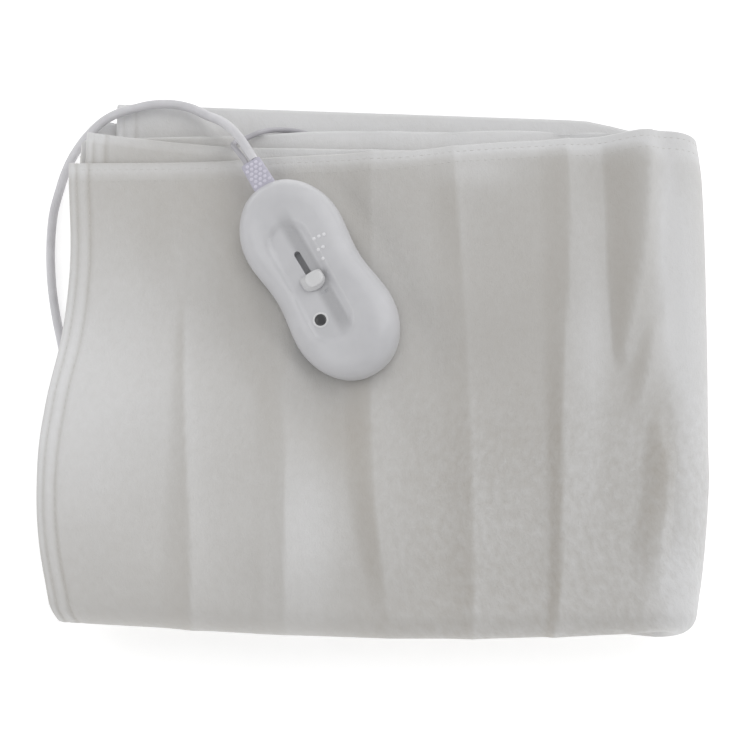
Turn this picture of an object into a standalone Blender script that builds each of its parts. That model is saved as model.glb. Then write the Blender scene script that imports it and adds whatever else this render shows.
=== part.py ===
"""Massage table warmer: a fleece blanket folded to a stack, with its slide controller lying on it.

Metres, +Z up. The origin is on the underside of the stack, near its middle. +X is the side with
the large rounded fold, +Y the side where the layers' far edges show. Run it in Blender 4.5.
"""
import bpy
import bmesh
from math import cos, exp, hypot, pi, radians, sin
from mathutils import Matrix, Vector

# ---------------------------------------------------------------- driving dimensions (metres)
SHEET_THICKNESS = 0.0030
LAYER_GAP = 0.0004
LAYERS = 6                      # panels that the length is folded into
HALF_GAP = 0.0002               # half of the gap between the two halves of the stack
PITCH = SHEET_THICKNESS + LAYER_GAP
INNER_RADIUS = HALF_GAP + SHEET_THICKNESS / 2
OUTER_RADIUS = INNER_RADIUS + (LAYERS - 1) * PITCH
AXIS_Z = OUTER_RADIUS + SHEET_THICKNESS / 2     # height of the plane between the halves
STACK_TOP = 2 * AXIS_Z
PIECE_GAP = 0.0003              # left between pieces that touch

# The lines that the sheet turns or ends at, in order along the sheet from the end that shows on
# top. Layers are numbered from the outside, 1, to the inside, 6. Each row gives the line's Y over
# the left of the top half, over its middle and at the right-hand roll, then just under that roll
# and at the left underneath.
TURNS = (
    # name          from  to   left     middle   right    under_right  under_left
    ("far_end",     1,    1,   0.1240,  0.1290,  0.1450,  0.1440,      0.1420),
    ("near_roll",   1,    6,  -0.1430, -0.1518, -0.1486, -0.1440,     -0.1340),
    ("far_fold_c",  6,    5,   0.1370,  0.1410,  0.1500,  0.1585,      0.1712),
    ("near_fold_b", 5,    4,  -0.1300, -0.1390, -0.1370, -0.1320,     -0.1210),
    ("far_fold_b",  4,    3,   0.1405,  0.1435,  0.1465,  0.1500,      0.1620),
    ("near_fold_a", 3,    2,  -0.1300, -0.1390, -0.1370, -0.1320,     -0.1210),
    ("inner_end",   2,    2,   0.1455,  0.1280,  0.1440,  0.1460,      0.1520),
)

# How far each layer's side hem stands in from the left edge: above, and underneath at the far
# side and at the near side.
HEMS = (
    # layer  above    under_far  under_near
    (1,      0.0000,  0.0060,    0.0040),
    (2,      0.0090,  0.0040,    0.0020),
    (3,      0.0050,  0.0000,    0.0030),
    (4,      0.0080,  0.0020,    0.0010),
    (5,      0.0040,  0.0150,    0.0030),
    (6,      0.0070,  0.0155,    0.0000),
)
HEM_TURN = (0.160, 0.020)       # Y of the far and of the near value underneath

# The left edge of the top half and of the half underneath, and the axis of the right-hand roll,
# along Y.
LEFT_EDGE = (
    # y       x
    (0.170,  -0.1760),
    (0.124,  -0.1775),
    (0.065,  -0.1745),
    (0.020,  -0.1775),
    (-0.030, -0.1850),
    (-0.062, -0.1875),
    (-0.100, -0.1855),
    (-0.150, -0.1770),
)
LEFT_UNDER = (
    # y       x
    (0.175,  -0.1690),
    (0.120,  -0.1665),
    (0.020,  -0.1640),
    (-0.140, -0.1620),
)
ROLL_AXIS = (
    # y       x
    (0.160,   0.1715),
    (0.120,   0.1755),
    (0.040,   0.1750),
    (-0.060,  0.1720),
    (-0.110,  0.1670),
    (-0.160,  0.1600),
)

# Soft ridges and troughs that run across the top panel, from far to near.
CREASES = (
    # x_far   y_far   x_near  y_near  half_width  height
    (-0.110,  0.030, -0.116, -0.150,  0.009,  -0.0022),
    (-0.102,  0.045, -0.106, -0.150,  0.009,   0.0022),
    (-0.078,  0.105, -0.078,  0.005,  0.018,  -0.0028),
    (-0.048, -0.015, -0.048, -0.150,  0.010,   0.0016),
    (-0.022, -0.015,  0.002, -0.160,  0.009,  -0.0030),
    (0.010,   0.120,  0.010, -0.160,  0.010,   0.0018),
    (0.045,   0.070,  0.045, -0.150,  0.012,  -0.0030),
    (0.060,   0.110,  0.060, -0.150,  0.010,   0.0018),
    (0.101,   0.100,  0.101, -0.160,  0.008,  -0.0032),
    (0.114,   0.135,  0.114, -0.160,  0.009,   0.0026),
    (0.147,   0.150,  0.143,  0.010,  0.013,  -0.0040),
    (0.160,   0.090,  0.142, -0.010,  0.009,   0.0022),
    (0.163,  -0.020,  0.166, -0.130,  0.008,  -0.0024),
)
PLATEAU = 0.0052                # the creases rise and fall about this height over the flat layers
CREASE_FLOOR = 0.0006
ROLL_SHARE = 0.35               # how much of that height the right-hand roll keeps
NEAR_SHARE = 0.5                # and how much of it pushes the near roll out
CORNER_TUCK = 0.0025            # how far the near roll's left end draws in
CREASE_SHARE = {1: 1.0, 2: 0.62, 3: 0.36, 4: 0.18, 5: 0.07, 6: 0.0}     # what each layer follows

# What lies in the pocket between the halves lifts the top half: flat out to the radius, then
# falling away.
MOUNDS = (
    # name            x        y        radius  fade    lift
    ("mains_coil",   -0.105,  -0.072,   0.051,  0.055,  0.0134),
    ("plug",         -0.042,  -0.088,   0.025,  0.052,  0.0139),
    ("mains_entry",  -0.162,  -0.040,   0.018,  0.045,  0.0082),
    ("lead_coil",     0.055,   0.075,   0.028,  0.045,  0.0094),
    ("lead_entry",   -0.015,   0.140,   0.018,  0.045,  0.0046),
    ("lead_boot",     0.077,   0.112,   0.014,  0.040,  0.0062),
)

# Controller. Its own frame has +Y towards the cords, +Z out of its face and its origin under its
# middle; the three placing values set that frame in the stack's.
HOUSING_PLACE = (-0.0283, 0.0477, 0.0480)
HOUSING_TURN = radians(30.3)
HOUSING_ROLL = radians(-9.0)
HOUSING_LENGTH = 0.1279
HOUSING_TAIL = 0.0356           # half width that the outline aims at by the tail
HOUSING_HEAD = 0.0348           # and by the cords
HOUSING_WAIST = 0.0080          # how far the sides draw in between them
HOUSING_SQUARENESS = 2.25
PARTING_Z = 0.0118
RING_POINTS = 48

TROUGH_TAIL_Y = -0.0390         # the trough's ends
TROUGH_HEAD_Y = 0.0350
TROUGH_TAIL = (-0.0066, 0.0118)     # its middle's X and its half width at the tail end
TROUGH_HEAD = (-0.0030, 0.0110)     # and at the head end
TROUGH_SLOPE = 0.0022           # how far its sides lean in
TROUGH_FLOOR = 0.0256

SLIDE_TRAVEL = 0.018
KNOB_REST_Y = -0.0037
KNOB_WIDTH = 0.0138
KNOB_LENGTH = 0.0108
KNOB_TOP = 0.0297
KNOB_CLEARANCE = 0.0004
STEM_WIDTH = 0.0026
STEM_LENGTH = 0.0044

SLOT_X = -0.0031
SLOT_WIDTH = 0.0034
SLOT_START = KNOB_REST_Y - STEM_LENGTH / 2 - KNOB_CLEARANCE
SLOT_END = KNOB_REST_Y + SLIDE_TRAVEL + STEM_LENGTH / 2 + KNOB_CLEARANCE
SLOT_DEPTH = 0.0050

LENS_MIDDLE = (-0.0110, -0.0249)
LENS_RADIUS = 0.0033
LENS_DEPTH = 0.0014

RELIEF_START = 0.0600           # inside the housing
RELIEF_END = 0.0815
RELIEF_X = 0.0012
RELIEF_Z = 0.0115
RELIEF_HALF_WIDTH = 0.0067
RELIEF_HALF_HEIGHT = 0.0044
NOTCH_ROWS = 5
NOTCH_COLUMNS = 3
NOTCH_PITCH = 0.0040            # between columns at the housing

MAINS_DIAMETER = 0.0055
LEAD_DIAMETER = 0.0032

# The supply cord from the strain relief to its coil in the pocket.
MAINS_ROUTE = (
    (-0.06815, 0.11938, 0.0599),
    (-0.0712, 0.1246, 0.0600),
    (-0.0752, 0.1314, 0.0588),
    (-0.0800, 0.1391, 0.0543),
    (-0.0852, 0.1467, 0.0462),
    (-0.0908, 0.1538, 0.0366),
    (-0.0985, 0.1605, 0.0275),
    (-0.1085, 0.1668, 0.0236),
    (-0.1200, 0.1694, 0.0231),
    (-0.1320, 0.1690, 0.0231),
    (-0.1430, 0.1662, 0.0234),
    (-0.1535, 0.1624, 0.0241),
    (-0.1630, 0.1582, 0.0196),
    (-0.1722, 0.1520, 0.0120),
    (-0.1798, 0.1438, 0.0056),
    (-0.1846, 0.1340, 0.0033),
    (-0.1882, 0.1210, 0.0031),
    (-0.1912, 0.1060, 0.0031),
    (-0.1920, 0.0860, 0.0031),
    (-0.1906, 0.0640, 0.0031),
    (-0.1874, 0.0440, 0.0031),
    (-0.1832, 0.0260, 0.0040),
    (-0.1790, 0.0090, 0.0080),
    (-0.1748, -0.0060, 0.0150),
    (-0.1704, -0.0190, 0.0215),
    (-0.1650, -0.0320, 0.0240),
    (-0.1585, -0.0440, 0.0240),
    (-0.1530, -0.0570, 0.0238),
    (-0.1505, -0.0720, 0.0236),
)
# From the coil to the plug.
MAINS_TAIL_ROUTE = (
    (-0.0822, -0.1115, 0.0290),
    (-0.0764, -0.1078, 0.0285),
    (-0.0700, -0.1041, 0.0277),
    (-0.0636, -0.1004, 0.0270),
)
# The thin lead from the strain relief, under the supply cord and into the fold, to its coil.
LEAD_ROUTE = (
    (-0.07225, 0.11697, 0.0592),
    (-0.0748, 0.1213, 0.0591),
    (-0.0784, 0.1270, 0.0561),
    (-0.0808, 0.1322, 0.0500),
    (-0.0799, 0.1368, 0.0431),
    (-0.0740, 0.1410, 0.0393),
    (-0.0672, 0.1456, 0.0360),
    (-0.0612, 0.1498, 0.0298),
    (-0.0540, 0.1526, 0.0236),
    (-0.0440, 0.1522, 0.0219),
    (-0.0340, 0.1490, 0.0219),
    (-0.0220, 0.1430, 0.0219),
    (-0.0080, 0.1330, 0.0219),
    (0.0070, 0.1190, 0.0219),
    (0.0200, 0.1030, 0.0219),
    (0.0283, 0.0880, 0.0219),
    (0.0303, 0.0750, 0.0219),
)
# From the coil to the boot on the cloth.
LEAD_TAIL_ROUTE = (
    (0.0797, 0.0750, 0.0252),
    (0.0797, 0.0820, 0.0249),
    (0.0792, 0.0890, 0.0241),
    (0.0784, 0.0960, 0.0232),
    (0.0776, 0.1030, 0.0228),
)

# Coils in the pocket: middle, the radii of the hole and of the outside, the foot and the height.
MAINS_COIL = {"middle": (-0.1050, -0.0720), "hole": 0.0195, "rim": 0.0425,
              "foot": 0.0203, "height": 0.0114}
LEAD_COIL = {"middle": (0.0550, 0.0750), "hole": 0.0128, "rim": 0.0228,
             "foot": 0.0203, "height": 0.0068}

PLUG_PLACE = (-0.0631, -0.1001, 0.0268)
PLUG_TURN = radians(30.0)
BOOT_PLACE = (0.0776, 0.1034, 0.0228)
BOOT_TURN = radians(96.5)
BOOT_LENGTH = 0.0200


# ---------------------------------------------------------------- scene and materials
def clear_scene():
    for item in list(bpy.data.objects):
        bpy.data.objects.remove(item, do_unlink=True)


def new_collection(name):
    group = bpy.data.collections.new(name)
    bpy.context.scene.collection.children.link(group)
    return group


def new_material(name, colour, roughness, metallic=0.0):
    material = bpy.data.materials.new(name)
    material.use_nodes = True
    shader = material.node_tree.nodes["Principled BSDF"]
    shader.inputs["Base Color"].default_value = (*colour, 1.0)
    shader.inputs["Roughness"].default_value = roughness
    shader.inputs["Metallic"].default_value = metallic
    return material


def add_mesh_object(name, mesh, group, material=None, parent=None):
    item = bpy.data.objects.new(name, mesh)
    group.objects.link(item)
    if material:
        mesh.materials.append(material)
    item.parent = parent
    return item


def mesh_from_bmesh(name, shape, sharp_angle=radians(35)):
    bmesh.ops.recalc_face_normals(shape, faces=shape.faces[:])
    mesh = bpy.data.meshes.new(name)
    shape.to_mesh(mesh)
    shape.free()
    mesh.shade_smooth()
    mesh.set_sharp_from_angle(angle=sharp_angle)
    return mesh


# ---------------------------------------------------------------- small curves
def smooth_step(t):
    t = min(max(t, 0.0), 1.0)
    return t * t * (3 - 2 * t)


def catmull(a, b, c, d, t):
    return 0.5 * (2 * b + (c - a) * t + (2 * a - 5 * b + 4 * c - d) * t ** 2
                  + (3 * b - a - 3 * c + d) * t ** 3)


def along(rows, y):
    """X at a Y, on a smooth curve through rows of (y, x) that run from far to near."""
    last = len(rows) - 2
    for n in range(len(rows) - 1):
        if y >= rows[n + 1][0] or n == last:
            break
    t = min(max((rows[n][0] - y) / (rows[n][0] - rows[n + 1][0]), 0.0), 1.0)
    before, after = rows[max(n - 1, 0)][1], rows[min(n + 2, last + 1)][1]
    return catmull(before, rows[n][1], rows[n + 1][1], after, t)


def smooth_path(points, step):
    """Points about a step apart on a smooth curve through the given ones, ends included."""
    points = [Vector(p) for p in points]
    ends = [2 * points[0] - points[1]] + points + [2 * points[-1] - points[-2]]
    fine = []
    for n in range(len(points) - 1):
        fine += [catmull(*ends[n:n + 4], k / 12) for k in range(12)]
    fine.append(points[-1])
    reach = [0.0]
    for a, b in zip(fine, fine[1:]):
        reach.append(reach[-1] + (b - a).length)
    count = max(round(reach[-1] / step), 2)
    path, n = [fine[0]], 0
    for k in range(1, count):
        goal = reach[-1] * k / count
        while reach[n + 1] < goal:
            n += 1
        path.append(fine[n].lerp(fine[n + 1], (goal - reach[n]) / (reach[n + 1] - reach[n])))
    return path + [fine[-1]]


# ---------------------------------------------------------------- the folded sheet
def turn_y(row, u):
    """Y of a turn at u, 0 at the left of the top half, 1 at the roll, 2 at the left underneath."""
    left, middle, right, under_right, under_left = row[3:8]
    if u > 1:
        settled = right + (under_right - right) * smooth_step((u - 1) / 0.15)
        return settled + (under_left - under_right) * (u - 1)
    return left + (right - left) * u + (middle - (left + right) / 2) * 4 * u * (1 - u)


def layer_radius(layer):
    return OUTER_RADIUS - (layer - 1) * PITCH


def section_stations():
    """The sheet's length as stations: (row, next row, share of the way, angle, layer, next layer).

    A station is on a panel when its angle is None, or else on the bend of its row's turn.
    """
    panel_steps = {1: 13, 6: 5, 5: 4, 4: 4, 3: 4, 2: 5}
    bend_steps = {"near_roll": 8}
    stations = []
    for n in range(len(TURNS) - 1):
        layer = TURNS[n][2]
        steps = panel_steps[layer]
        first = 0 if n == 0 else 1
        last = steps if n == len(TURNS) - 2 else steps - 1
        for k in range(first, last + 1):
            stations.append((n, n + 1, k / steps, None, layer))
        if n < len(TURNS) - 2:
            bends = bend_steps.get(TURNS[n + 1][0], 6)
            for k in range(bends + 1):
                stations.append((n + 1, None, k / bends, pi * k / bends, layer))
    return stations


def station_place(station, u):
    """Y, radius from the plane between the halves, outward (y, r), crease share and layer."""
    row, following, share, angle, layer = station
    if angle is None:
        ends = []
        for n in (row, following):
            _, start, stop = TURNS[n][:3]
            bend = (layer_radius(start) - layer_radius(stop)) / 2
            side = 1 if TURNS[n][0].startswith("near") else -1
            ends.append(turn_y(TURNS[n], u) + side * abs(bend))
        y = ends[0] + (ends[1] - ends[0]) * share
        return y, layer_radius(layer), 0.0, 1.0, CREASE_SHARE[layer], float(layer)
    name, start, stop = TURNS[row][:3]
    bend = (layer_radius(start) - layer_radius(stop)) / 2
    side = -1 if name.startswith("near") else 1
    middle_r = (layer_radius(start) + layer_radius(stop)) / 2
    centre_y = turn_y(TURNS[row], u) - side * abs(bend)
    y = centre_y + side * abs(bend) * sin(angle)
    r = middle_r + bend * cos(angle)
    at = start + (stop - start) * share
    creases = CREASE_SHARE[start] + (CREASE_SHARE[stop] - CREASE_SHARE[start]) * smooth_step(share)
    return y, r, side * sin(angle), cos(angle), creases, at


def hem_inset(layer, y, over):
    """How far the side hem stands in at a layer, which may lie between two on a bend."""
    low = int(min(layer, LAYERS - 1))
    above, far, near = (HEMS[low - 1][n] + (HEMS[low][n] - HEMS[low - 1][n]) * (layer - low)
                        for n in (1, 2, 3))
    if over:
        return above
    return near + (far - near) * smooth_step((y - HEM_TURN[1]) / (HEM_TURN[0] - HEM_TURN[1]))


def mound_lift(x, y):
    total = 0.0
    for _, centre_x, centre_y, radius, fade, lift in MOUNDS:
        reach = hypot(x - centre_x, y - centre_y)
        total += (lift * smooth_step(1 - (reach - radius) / fade)) ** 4
    return total ** 0.25


def crease_height(x, y):
    """Height of the top panel over the flat layers, from the ridges and troughs alone."""
    height = PLATEAU
    for x_far, y_far, x_near, y_near, half_width, rise in CREASES:
        t = (y_far - y) / (y_far - y_near)
        middle = x_far + (x_near - x_far) * min(max(t, 0.0), 1.0)
        ends = smooth_step((t + 0.18) / 0.36) * smooth_step((1.18 - t) / 0.36)
        height += rise * ends * exp(-((x - middle) / half_width) ** 2)
    return max(height, CREASE_FLOOR)


def housing_frame():
    turn = Matrix.Rotation(HOUSING_TURN, 4, "Z") @ Matrix.Rotation(HOUSING_ROLL, 4, "Y")
    return Matrix.Translation(HOUSING_PLACE) @ turn


SEAT_FRAME = housing_frame()
SEAT_UP = SEAT_FRAME.to_3x3() @ Vector((0, 0, 1))
SEAT_BACK = SEAT_FRAME.inverted()


def seat_share_and_height(x, y):
    """How far the cloth takes the plane of the housing's underside, and that plane's height."""
    place = SEAT_FRAME.translation
    z = place.z - (SEAT_UP.x * (x - place.x) + SEAT_UP.y * (y - place.y)) / SEAT_UP.z
    local = SEAT_BACK @ Vector((x, y, z))
    reach = hypot(local.x / 0.026, local.y / 0.060)
    return smooth_step((1.75 - reach) / 0.75), z - 2 * PIECE_GAP


def surface_rise(x, y):
    """How far the outermost layer stands over its flat place in the top half."""
    lift = mound_lift(x, y)
    share, seat = seat_share_and_height(x, y)
    creases = crease_height(x, y)
    return lift, max(creases + (seat - STACK_TOP - lift - creases) * share, CREASE_FLOOR)


def sheet_point(station, u):
    """A point of the sheet's middle surface. u runs 0 to 1 over the top, and 1 to 2 below."""
    y, r, normal_y, normal_r, share, layer = station_place(station, u)
    axis_x = along(ROLL_AXIS, y)
    over = u <= 1
    tuck = CORNER_TUCK * max(-normal_y, 0.0)
    left_x = along(LEFT_EDGE if over else LEFT_UNDER, y) + hem_inset(layer, y, over) + tuck
    if not over:
        return Vector((axis_x + (left_x - axis_x) * (u - 1), y, AXIS_Z - r))
    x = left_x + (axis_x - left_x) * u
    lift, rise = surface_rise(x, y)
    fade = smooth_step((axis_x + 0.004 - x) / 0.022)
    rise *= share * (ROLL_SHARE + (1 - ROLL_SHARE) * fade)
    y += min(normal_y, 0.0) * rise * NEAR_SHARE
    return Vector((x, y, AXIS_Z + r + normal_r * rise + lift * fade))


def roll_point(station, angle):
    """A point on the right-hand roll, from the top at 0 to the underside at pi."""
    y, r, normal_y, normal_r, share, _ = station_place(station, 1.0)
    _, rise = surface_rise(along(ROLL_AXIS, y), y)
    rise *= share * ROLL_SHARE * cos(angle / 2) ** 2
    r += normal_r * rise
    y += min(normal_y, 0.0) * rise * NEAR_SHARE
    return Vector((along(ROLL_AXIS, y) + r * sin(angle), y, AXIS_Z + r * cos(angle)))


def build_blanket(group, material):
    top_share = [0.0, 0.05, 0.11, 0.165, 0.20, 0.235, 0.28, 0.33, 0.385, 0.44, 0.49, 0.54, 0.59,
                 0.64, 0.69, 0.74, 0.79, 0.825, 0.865, 0.91, 0.955]
    roll_steps, under_steps = 8, 6
    columns = [("flat", u) for u in top_share]
    columns += [("roll", pi * k / roll_steps) for k in range(roll_steps + 1)]
    columns += [("flat", 1 + k / under_steps) for k in range(1, under_steps + 1)]
    stations = section_stations()
    shape = bmesh.new()
    bmesh.ops.create_grid(shape, x_segments=len(columns) - 1, y_segments=len(stations) - 1, size=1)
    for vert in shape.verts:
        kind, value = columns[round((vert.co.x + 1) / 2 * (len(columns) - 1))]
        station = stations[round((vert.co.y + 1) / 2 * (len(stations) - 1))]
        if kind == "roll":
            vert.co = roll_point(station, value)
        else:
            vert.co = sheet_point(station, value)
    mesh = bpy.data.meshes.new("blanket")
    shape.to_mesh(mesh)
    shape.free()
    mesh.shade_smooth()
    blanket = add_mesh_object("blanket", mesh, group, material)
    wall = blanket.modifiers.new("cloth thickness", "SOLIDIFY")
    wall.thickness = SHEET_THICKNESS
    wall.offset = 0.0
    wall.use_even_offset = True
    return blanket


# ---------------------------------------------------------------- shapes shared by hard pieces
def loft(name, rings):
    """A closed solid through rings of equal point counts, capped at both ends."""
    shape = bmesh.new()
    loops = [[shape.verts.new(point) for point in ring] for ring in rings]
    for lower, upper in zip(loops, loops[1:]):
        for n in range(len(lower)):
            after = (n + 1) % len(lower)
            shape.faces.new((lower[n], lower[after], upper[after], upper[n]))
    shape.faces.new(loops[0][::-1])
    shape.faces.new(loops[-1])
    return mesh_from_bmesh(name, shape)


def power(value, exponent):
    return abs(value) ** exponent * (1 if value >= 0 else -1)


def oval_ring(middle, half_x, half_y, z, squareness, count=RING_POINTS):
    ring = []
    for n in range(count):
        a = 2 * pi * n / count
        x = half_x * power(cos(a), 2 / squareness)
        y = half_y * power(sin(a), 2 / squareness)
        ring.append((middle[0] + x, middle[1] + y, z))
    return ring


def housing_ring(inset, z):
    """The housing's outline, drawn in by inset, at a height in the housing's frame."""
    ring = []
    half_length = HOUSING_LENGTH / 2
    for n in range(RING_POINTS):
        a = 2 * pi * n / RING_POINTS
        y = (half_length - inset) * power(sin(a), 2 / HOUSING_SQUARENESS)
        along_length = y / HOUSING_LENGTH + 0.5
        width = HOUSING_TAIL + (HOUSING_HEAD - HOUSING_TAIL) * along_length
        width -= HOUSING_WAIST * cos(pi * (along_length - 0.5)) ** 4
        ring.append(((width - inset) * power(cos(a), 2 / HOUSING_SQUARENESS), y, z))
    return ring


def trough_ring(inset, z, count=40):
    """The trough's outline, drawn in by inset: narrower at the head, leaning a little."""
    ring = []
    for n in range(count):
        a = 2 * pi * (n + 0.5) / count
        share = 0.5 + 0.5 * power(sin(a), 0.75)
        middle_x, half_width = (TROUGH_TAIL[k] + (TROUGH_HEAD[k] - TROUGH_TAIL[k]) * share
                                for k in (0, 1))
        y = TROUGH_TAIL_Y + inset + (TROUGH_HEAD_Y - TROUGH_TAIL_Y - 2 * inset) * share
        ring.append((middle_x + (half_width - inset) * power(cos(a), 0.55), y, z))
    return ring


def box_mesh(name, boxes):
    """One mesh of separate boxes, each given by its lowest and highest corners."""
    shape = bmesh.new()
    for low, high in boxes:
        low, high = Vector(low), Vector(high)
        size = Matrix.Diagonal((*(high - low), 1.0))
        bmesh.ops.create_cube(shape, size=1.0, matrix=Matrix.Translation((low + high) / 2) @ size)
    return mesh_from_bmesh(name, shape)


def add_cutter(name, mesh, group, parent):
    cutter = add_mesh_object(name, mesh, group, parent=parent)
    cutter.hide_render = True
    cutter.display_type = "WIRE"
    return cutter


def boolean(item, tool, operation="DIFFERENCE"):
    step = item.modifiers.new(tool.name, "BOOLEAN")
    step.operation = operation
    step.object = tool
    step.solver = "EXACT"


# ---------------------------------------------------------------- controller
def build_controller(parts, cutters, materials):
    frame = bpy.data.objects.new("controller", None)
    parts.objects.link(frame)
    frame.matrix_world = SEAT_FRAME

    # profiles: inset from the outline and height, from the parting line outwards
    upper_profile = ((0.0004, PARTING_Z + PIECE_GAP / 2), (0.0000, 0.0136), (0.0005, 0.0170),
                     (0.0021, 0.0205), (0.0050, 0.0238), (0.0088, 0.0260), (0.0132, 0.0271),
                     (0.0180, 0.0276))
    lower_profile = ((0.0120, 0.0000), (0.0082, 0.0006), (0.0040, 0.0026), (0.0013, 0.0060),
                     (0.0001, 0.0098), (0.0004, PARTING_Z - PIECE_GAP / 2))
    upper = add_mesh_object("housing_upper", loft("housing_upper", [
        housing_ring(inset, z) for inset, z in upper_profile]), parts, materials["shell"], frame)
    lower = add_mesh_object("housing_lower", loft("housing_lower", [
        housing_ring(inset, z) for inset, z in lower_profile]), parts, materials["shell"], frame)

    trough = add_cutter("trough_cutter", loft("trough_cutter", [
        trough_ring(inset, z) for inset, z in (
            (TROUGH_SLOPE, TROUGH_FLOOR), (0.0, 0.0270), (-0.0008, 0.0300))]), cutters, frame)
    slot = add_cutter("slot_cutter", box_mesh("slot_cutter", [
        ((SLOT_X - SLOT_WIDTH / 2, SLOT_START, TROUGH_FLOOR - SLOT_DEPTH),
         (SLOT_X + SLOT_WIDTH / 2, SLOT_END, TROUGH_FLOOR + 0.001))]), cutters, frame)
    window = add_cutter("window_cutter", loft("window_cutter", [
        oval_ring(LENS_MIDDLE, LENS_RADIUS + PIECE_GAP, LENS_RADIUS + PIECE_GAP, z, 2, 24)
        for z in (TROUGH_FLOOR - LENS_DEPTH, TROUGH_FLOOR + 0.003)]), cutters, frame)
    socket = add_cutter("socket_cutter", box_mesh("socket_cutter", [
        ((RELIEF_X - RELIEF_HALF_WIDTH - PIECE_GAP, RELIEF_START - PIECE_GAP,
          RELIEF_Z - RELIEF_HALF_HEIGHT - PIECE_GAP),
         (RELIEF_X + RELIEF_HALF_WIDTH + PIECE_GAP, HOUSING_LENGTH,
          RELIEF_Z + RELIEF_HALF_HEIGHT + PIECE_GAP))]), cutters, frame)
    for tool in (trough, slot, window, socket):
        boolean(upper, tool)
    boolean(lower, socket)

    lens_rings = [oval_ring(LENS_MIDDLE, radius, radius, z, 2, 24) for radius, z in (
        (LENS_RADIUS, TROUGH_FLOOR - LENS_DEPTH + PIECE_GAP),
        (LENS_RADIUS, TROUGH_FLOOR + 0.0001),
        (LENS_RADIUS * 0.8, TROUGH_FLOOR + 0.0004),
        (LENS_RADIUS * 0.4, TROUGH_FLOOR + 0.0006))]
    add_mesh_object("indicator_lens", loft("indicator_lens", lens_rings), parts,
                    materials["lens"], frame)
    build_relief(parts, cutters, materials, frame)
    build_knob(parts, cutters, materials, frame)


def build_relief(parts, cutters, materials, frame):
    # distance along the leads, then the shares of the full half width and half height
    sections = ((RELIEF_START, 1.0, 1.0), (HOUSING_LENGTH / 2 + 0.001, 1.0, 1.0),
                (RELIEF_END - 0.001, 0.82, 0.80), (RELIEF_END, 0.77, 0.70))
    rings = []
    for y, wide, high in sections:
        flat = oval_ring((0, 0), RELIEF_HALF_WIDTH * wide, RELIEF_HALF_HEIGHT * high, 0, 6, 32)
        rings.append([(RELIEF_X + x, y, RELIEF_Z + z) for x, z, _ in flat])
    relief = add_mesh_object("cord_relief", loft("cord_relief", rings), parts,
                             materials["relief"], frame)
    notches = []
    for row in range(NOTCH_ROWS):
        y = HOUSING_LENGTH / 2 + 0.0018 + row * 0.0030
        pitch = NOTCH_PITCH * (1 - 0.05 * row)
        for column in range(NOTCH_COLUMNS):
            x = RELIEF_X + (column - 1) * pitch
            for side in (-1, 1):
                deep = RELIEF_Z + side * (RELIEF_HALF_HEIGHT - 0.0016)
                clear = RELIEF_Z + side * (RELIEF_HALF_HEIGHT + 0.001)
                notches.append(((x - 0.0014, y, min(deep, clear)),
                                (x + 0.0014, y + 0.0014, max(deep, clear))))
    boolean(relief, add_cutter("notch_cutter", box_mesh("notch_cutter", notches), cutters, frame))


def knob_ring(inset, z, count=32):
    """A D: blunt towards the cords, round towards the tail."""
    ring = []
    for n in range(count):
        a = 2 * pi * n / count
        squareness = 5.0 if sin(a) > 0 else 2.1
        x = (KNOB_WIDTH / 2 - inset) * power(cos(a), 2 / squareness)
        y = (KNOB_LENGTH / 2 - inset) * power(sin(a), 2 / squareness)
        ring.append((x, y, z))
    return ring


def build_knob(parts, cutters, materials, frame):
    """The slider, with its origin on its line of travel."""
    foot = TROUGH_FLOOR + KNOB_CLEARANCE
    rings = [knob_ring(inset, z - foot) for inset, z in (
        (0.0003, foot), (0.0, foot + 0.0004), (0.0002, foot + 0.0016), (0.0013, foot + 0.0028),
        (0.0030, KNOB_TOP))]
    knob = add_mesh_object("slide_knob", loft("slide_knob", rings), parts, materials["knob"], frame)
    knob.location = (SLOT_X, KNOB_REST_Y, foot)
    stem = add_cutter("stem_tool", box_mesh("stem_tool", [
        ((-STEM_WIDTH / 2, -STEM_LENGTH / 2, -SLOT_DEPTH + 2 * KNOB_CLEARANCE),
         (STEM_WIDTH / 2, STEM_LENGTH / 2, 0.001))]), cutters, frame)
    stem.location = knob.location
    boolean(knob, stem, "UNION")


# ---------------------------------------------------------------- cords, coils, plug and boot
def build_cord(name, route, diameter, parts, material, spacing=2.5):
    curve = bpy.data.curves.new(name, "CURVE")
    curve.dimensions = "3D"
    curve.bevel_depth = diameter / 2
    curve.bevel_resolution = 2
    curve.use_fill_caps = True
    path = smooth_path(route, spacing * diameter)
    spline = curve.splines.new("POLY")
    spline.points.add(len(path) - 1)
    for point, place in zip(spline.points, path):
        point.co = (*place, 1.0)
    curve.materials.append(material)
    cord = bpy.data.objects.new(name, curve)
    parts.objects.link(cord)


def build_coil(name, coil, parts, material):
    """The outer shape of a coil's turns: a turned ring."""
    middle = (coil["hole"] + coil["rim"]) / 2
    half_width = (coil["rim"] - coil["hole"]) / 2
    corners = 12
    shape = bmesh.new()
    profile = []
    for n in range(corners + 1):
        a = pi / 2 - 2 * pi * n / corners
        x = middle + half_width * power(cos(a), 0.4)
        z = coil["foot"] + coil["height"] / 2 * (1 + power(sin(a), 0.4))
        profile.append(shape.verts.new((x, 0, z)))
    for a, b in zip(profile, profile[1:]):
        shape.edges.new((a, b))
    mesh = bpy.data.meshes.new(name)
    shape.to_mesh(mesh)
    shape.free()
    ring = add_mesh_object(name, mesh, parts, material)
    ring.location = (*coil["middle"], 0)
    turn = ring.modifiers.new("turn", "SCREW")
    turn.axis = "Z"
    turn.steps = 40
    turn.render_steps = 40
    turn.use_merge_vertices = True
    turn.merge_threshold = 0.0001
    weld = ring.modifiers.new("close the section", "WELD")
    weld.merge_threshold = 0.0001


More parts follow.
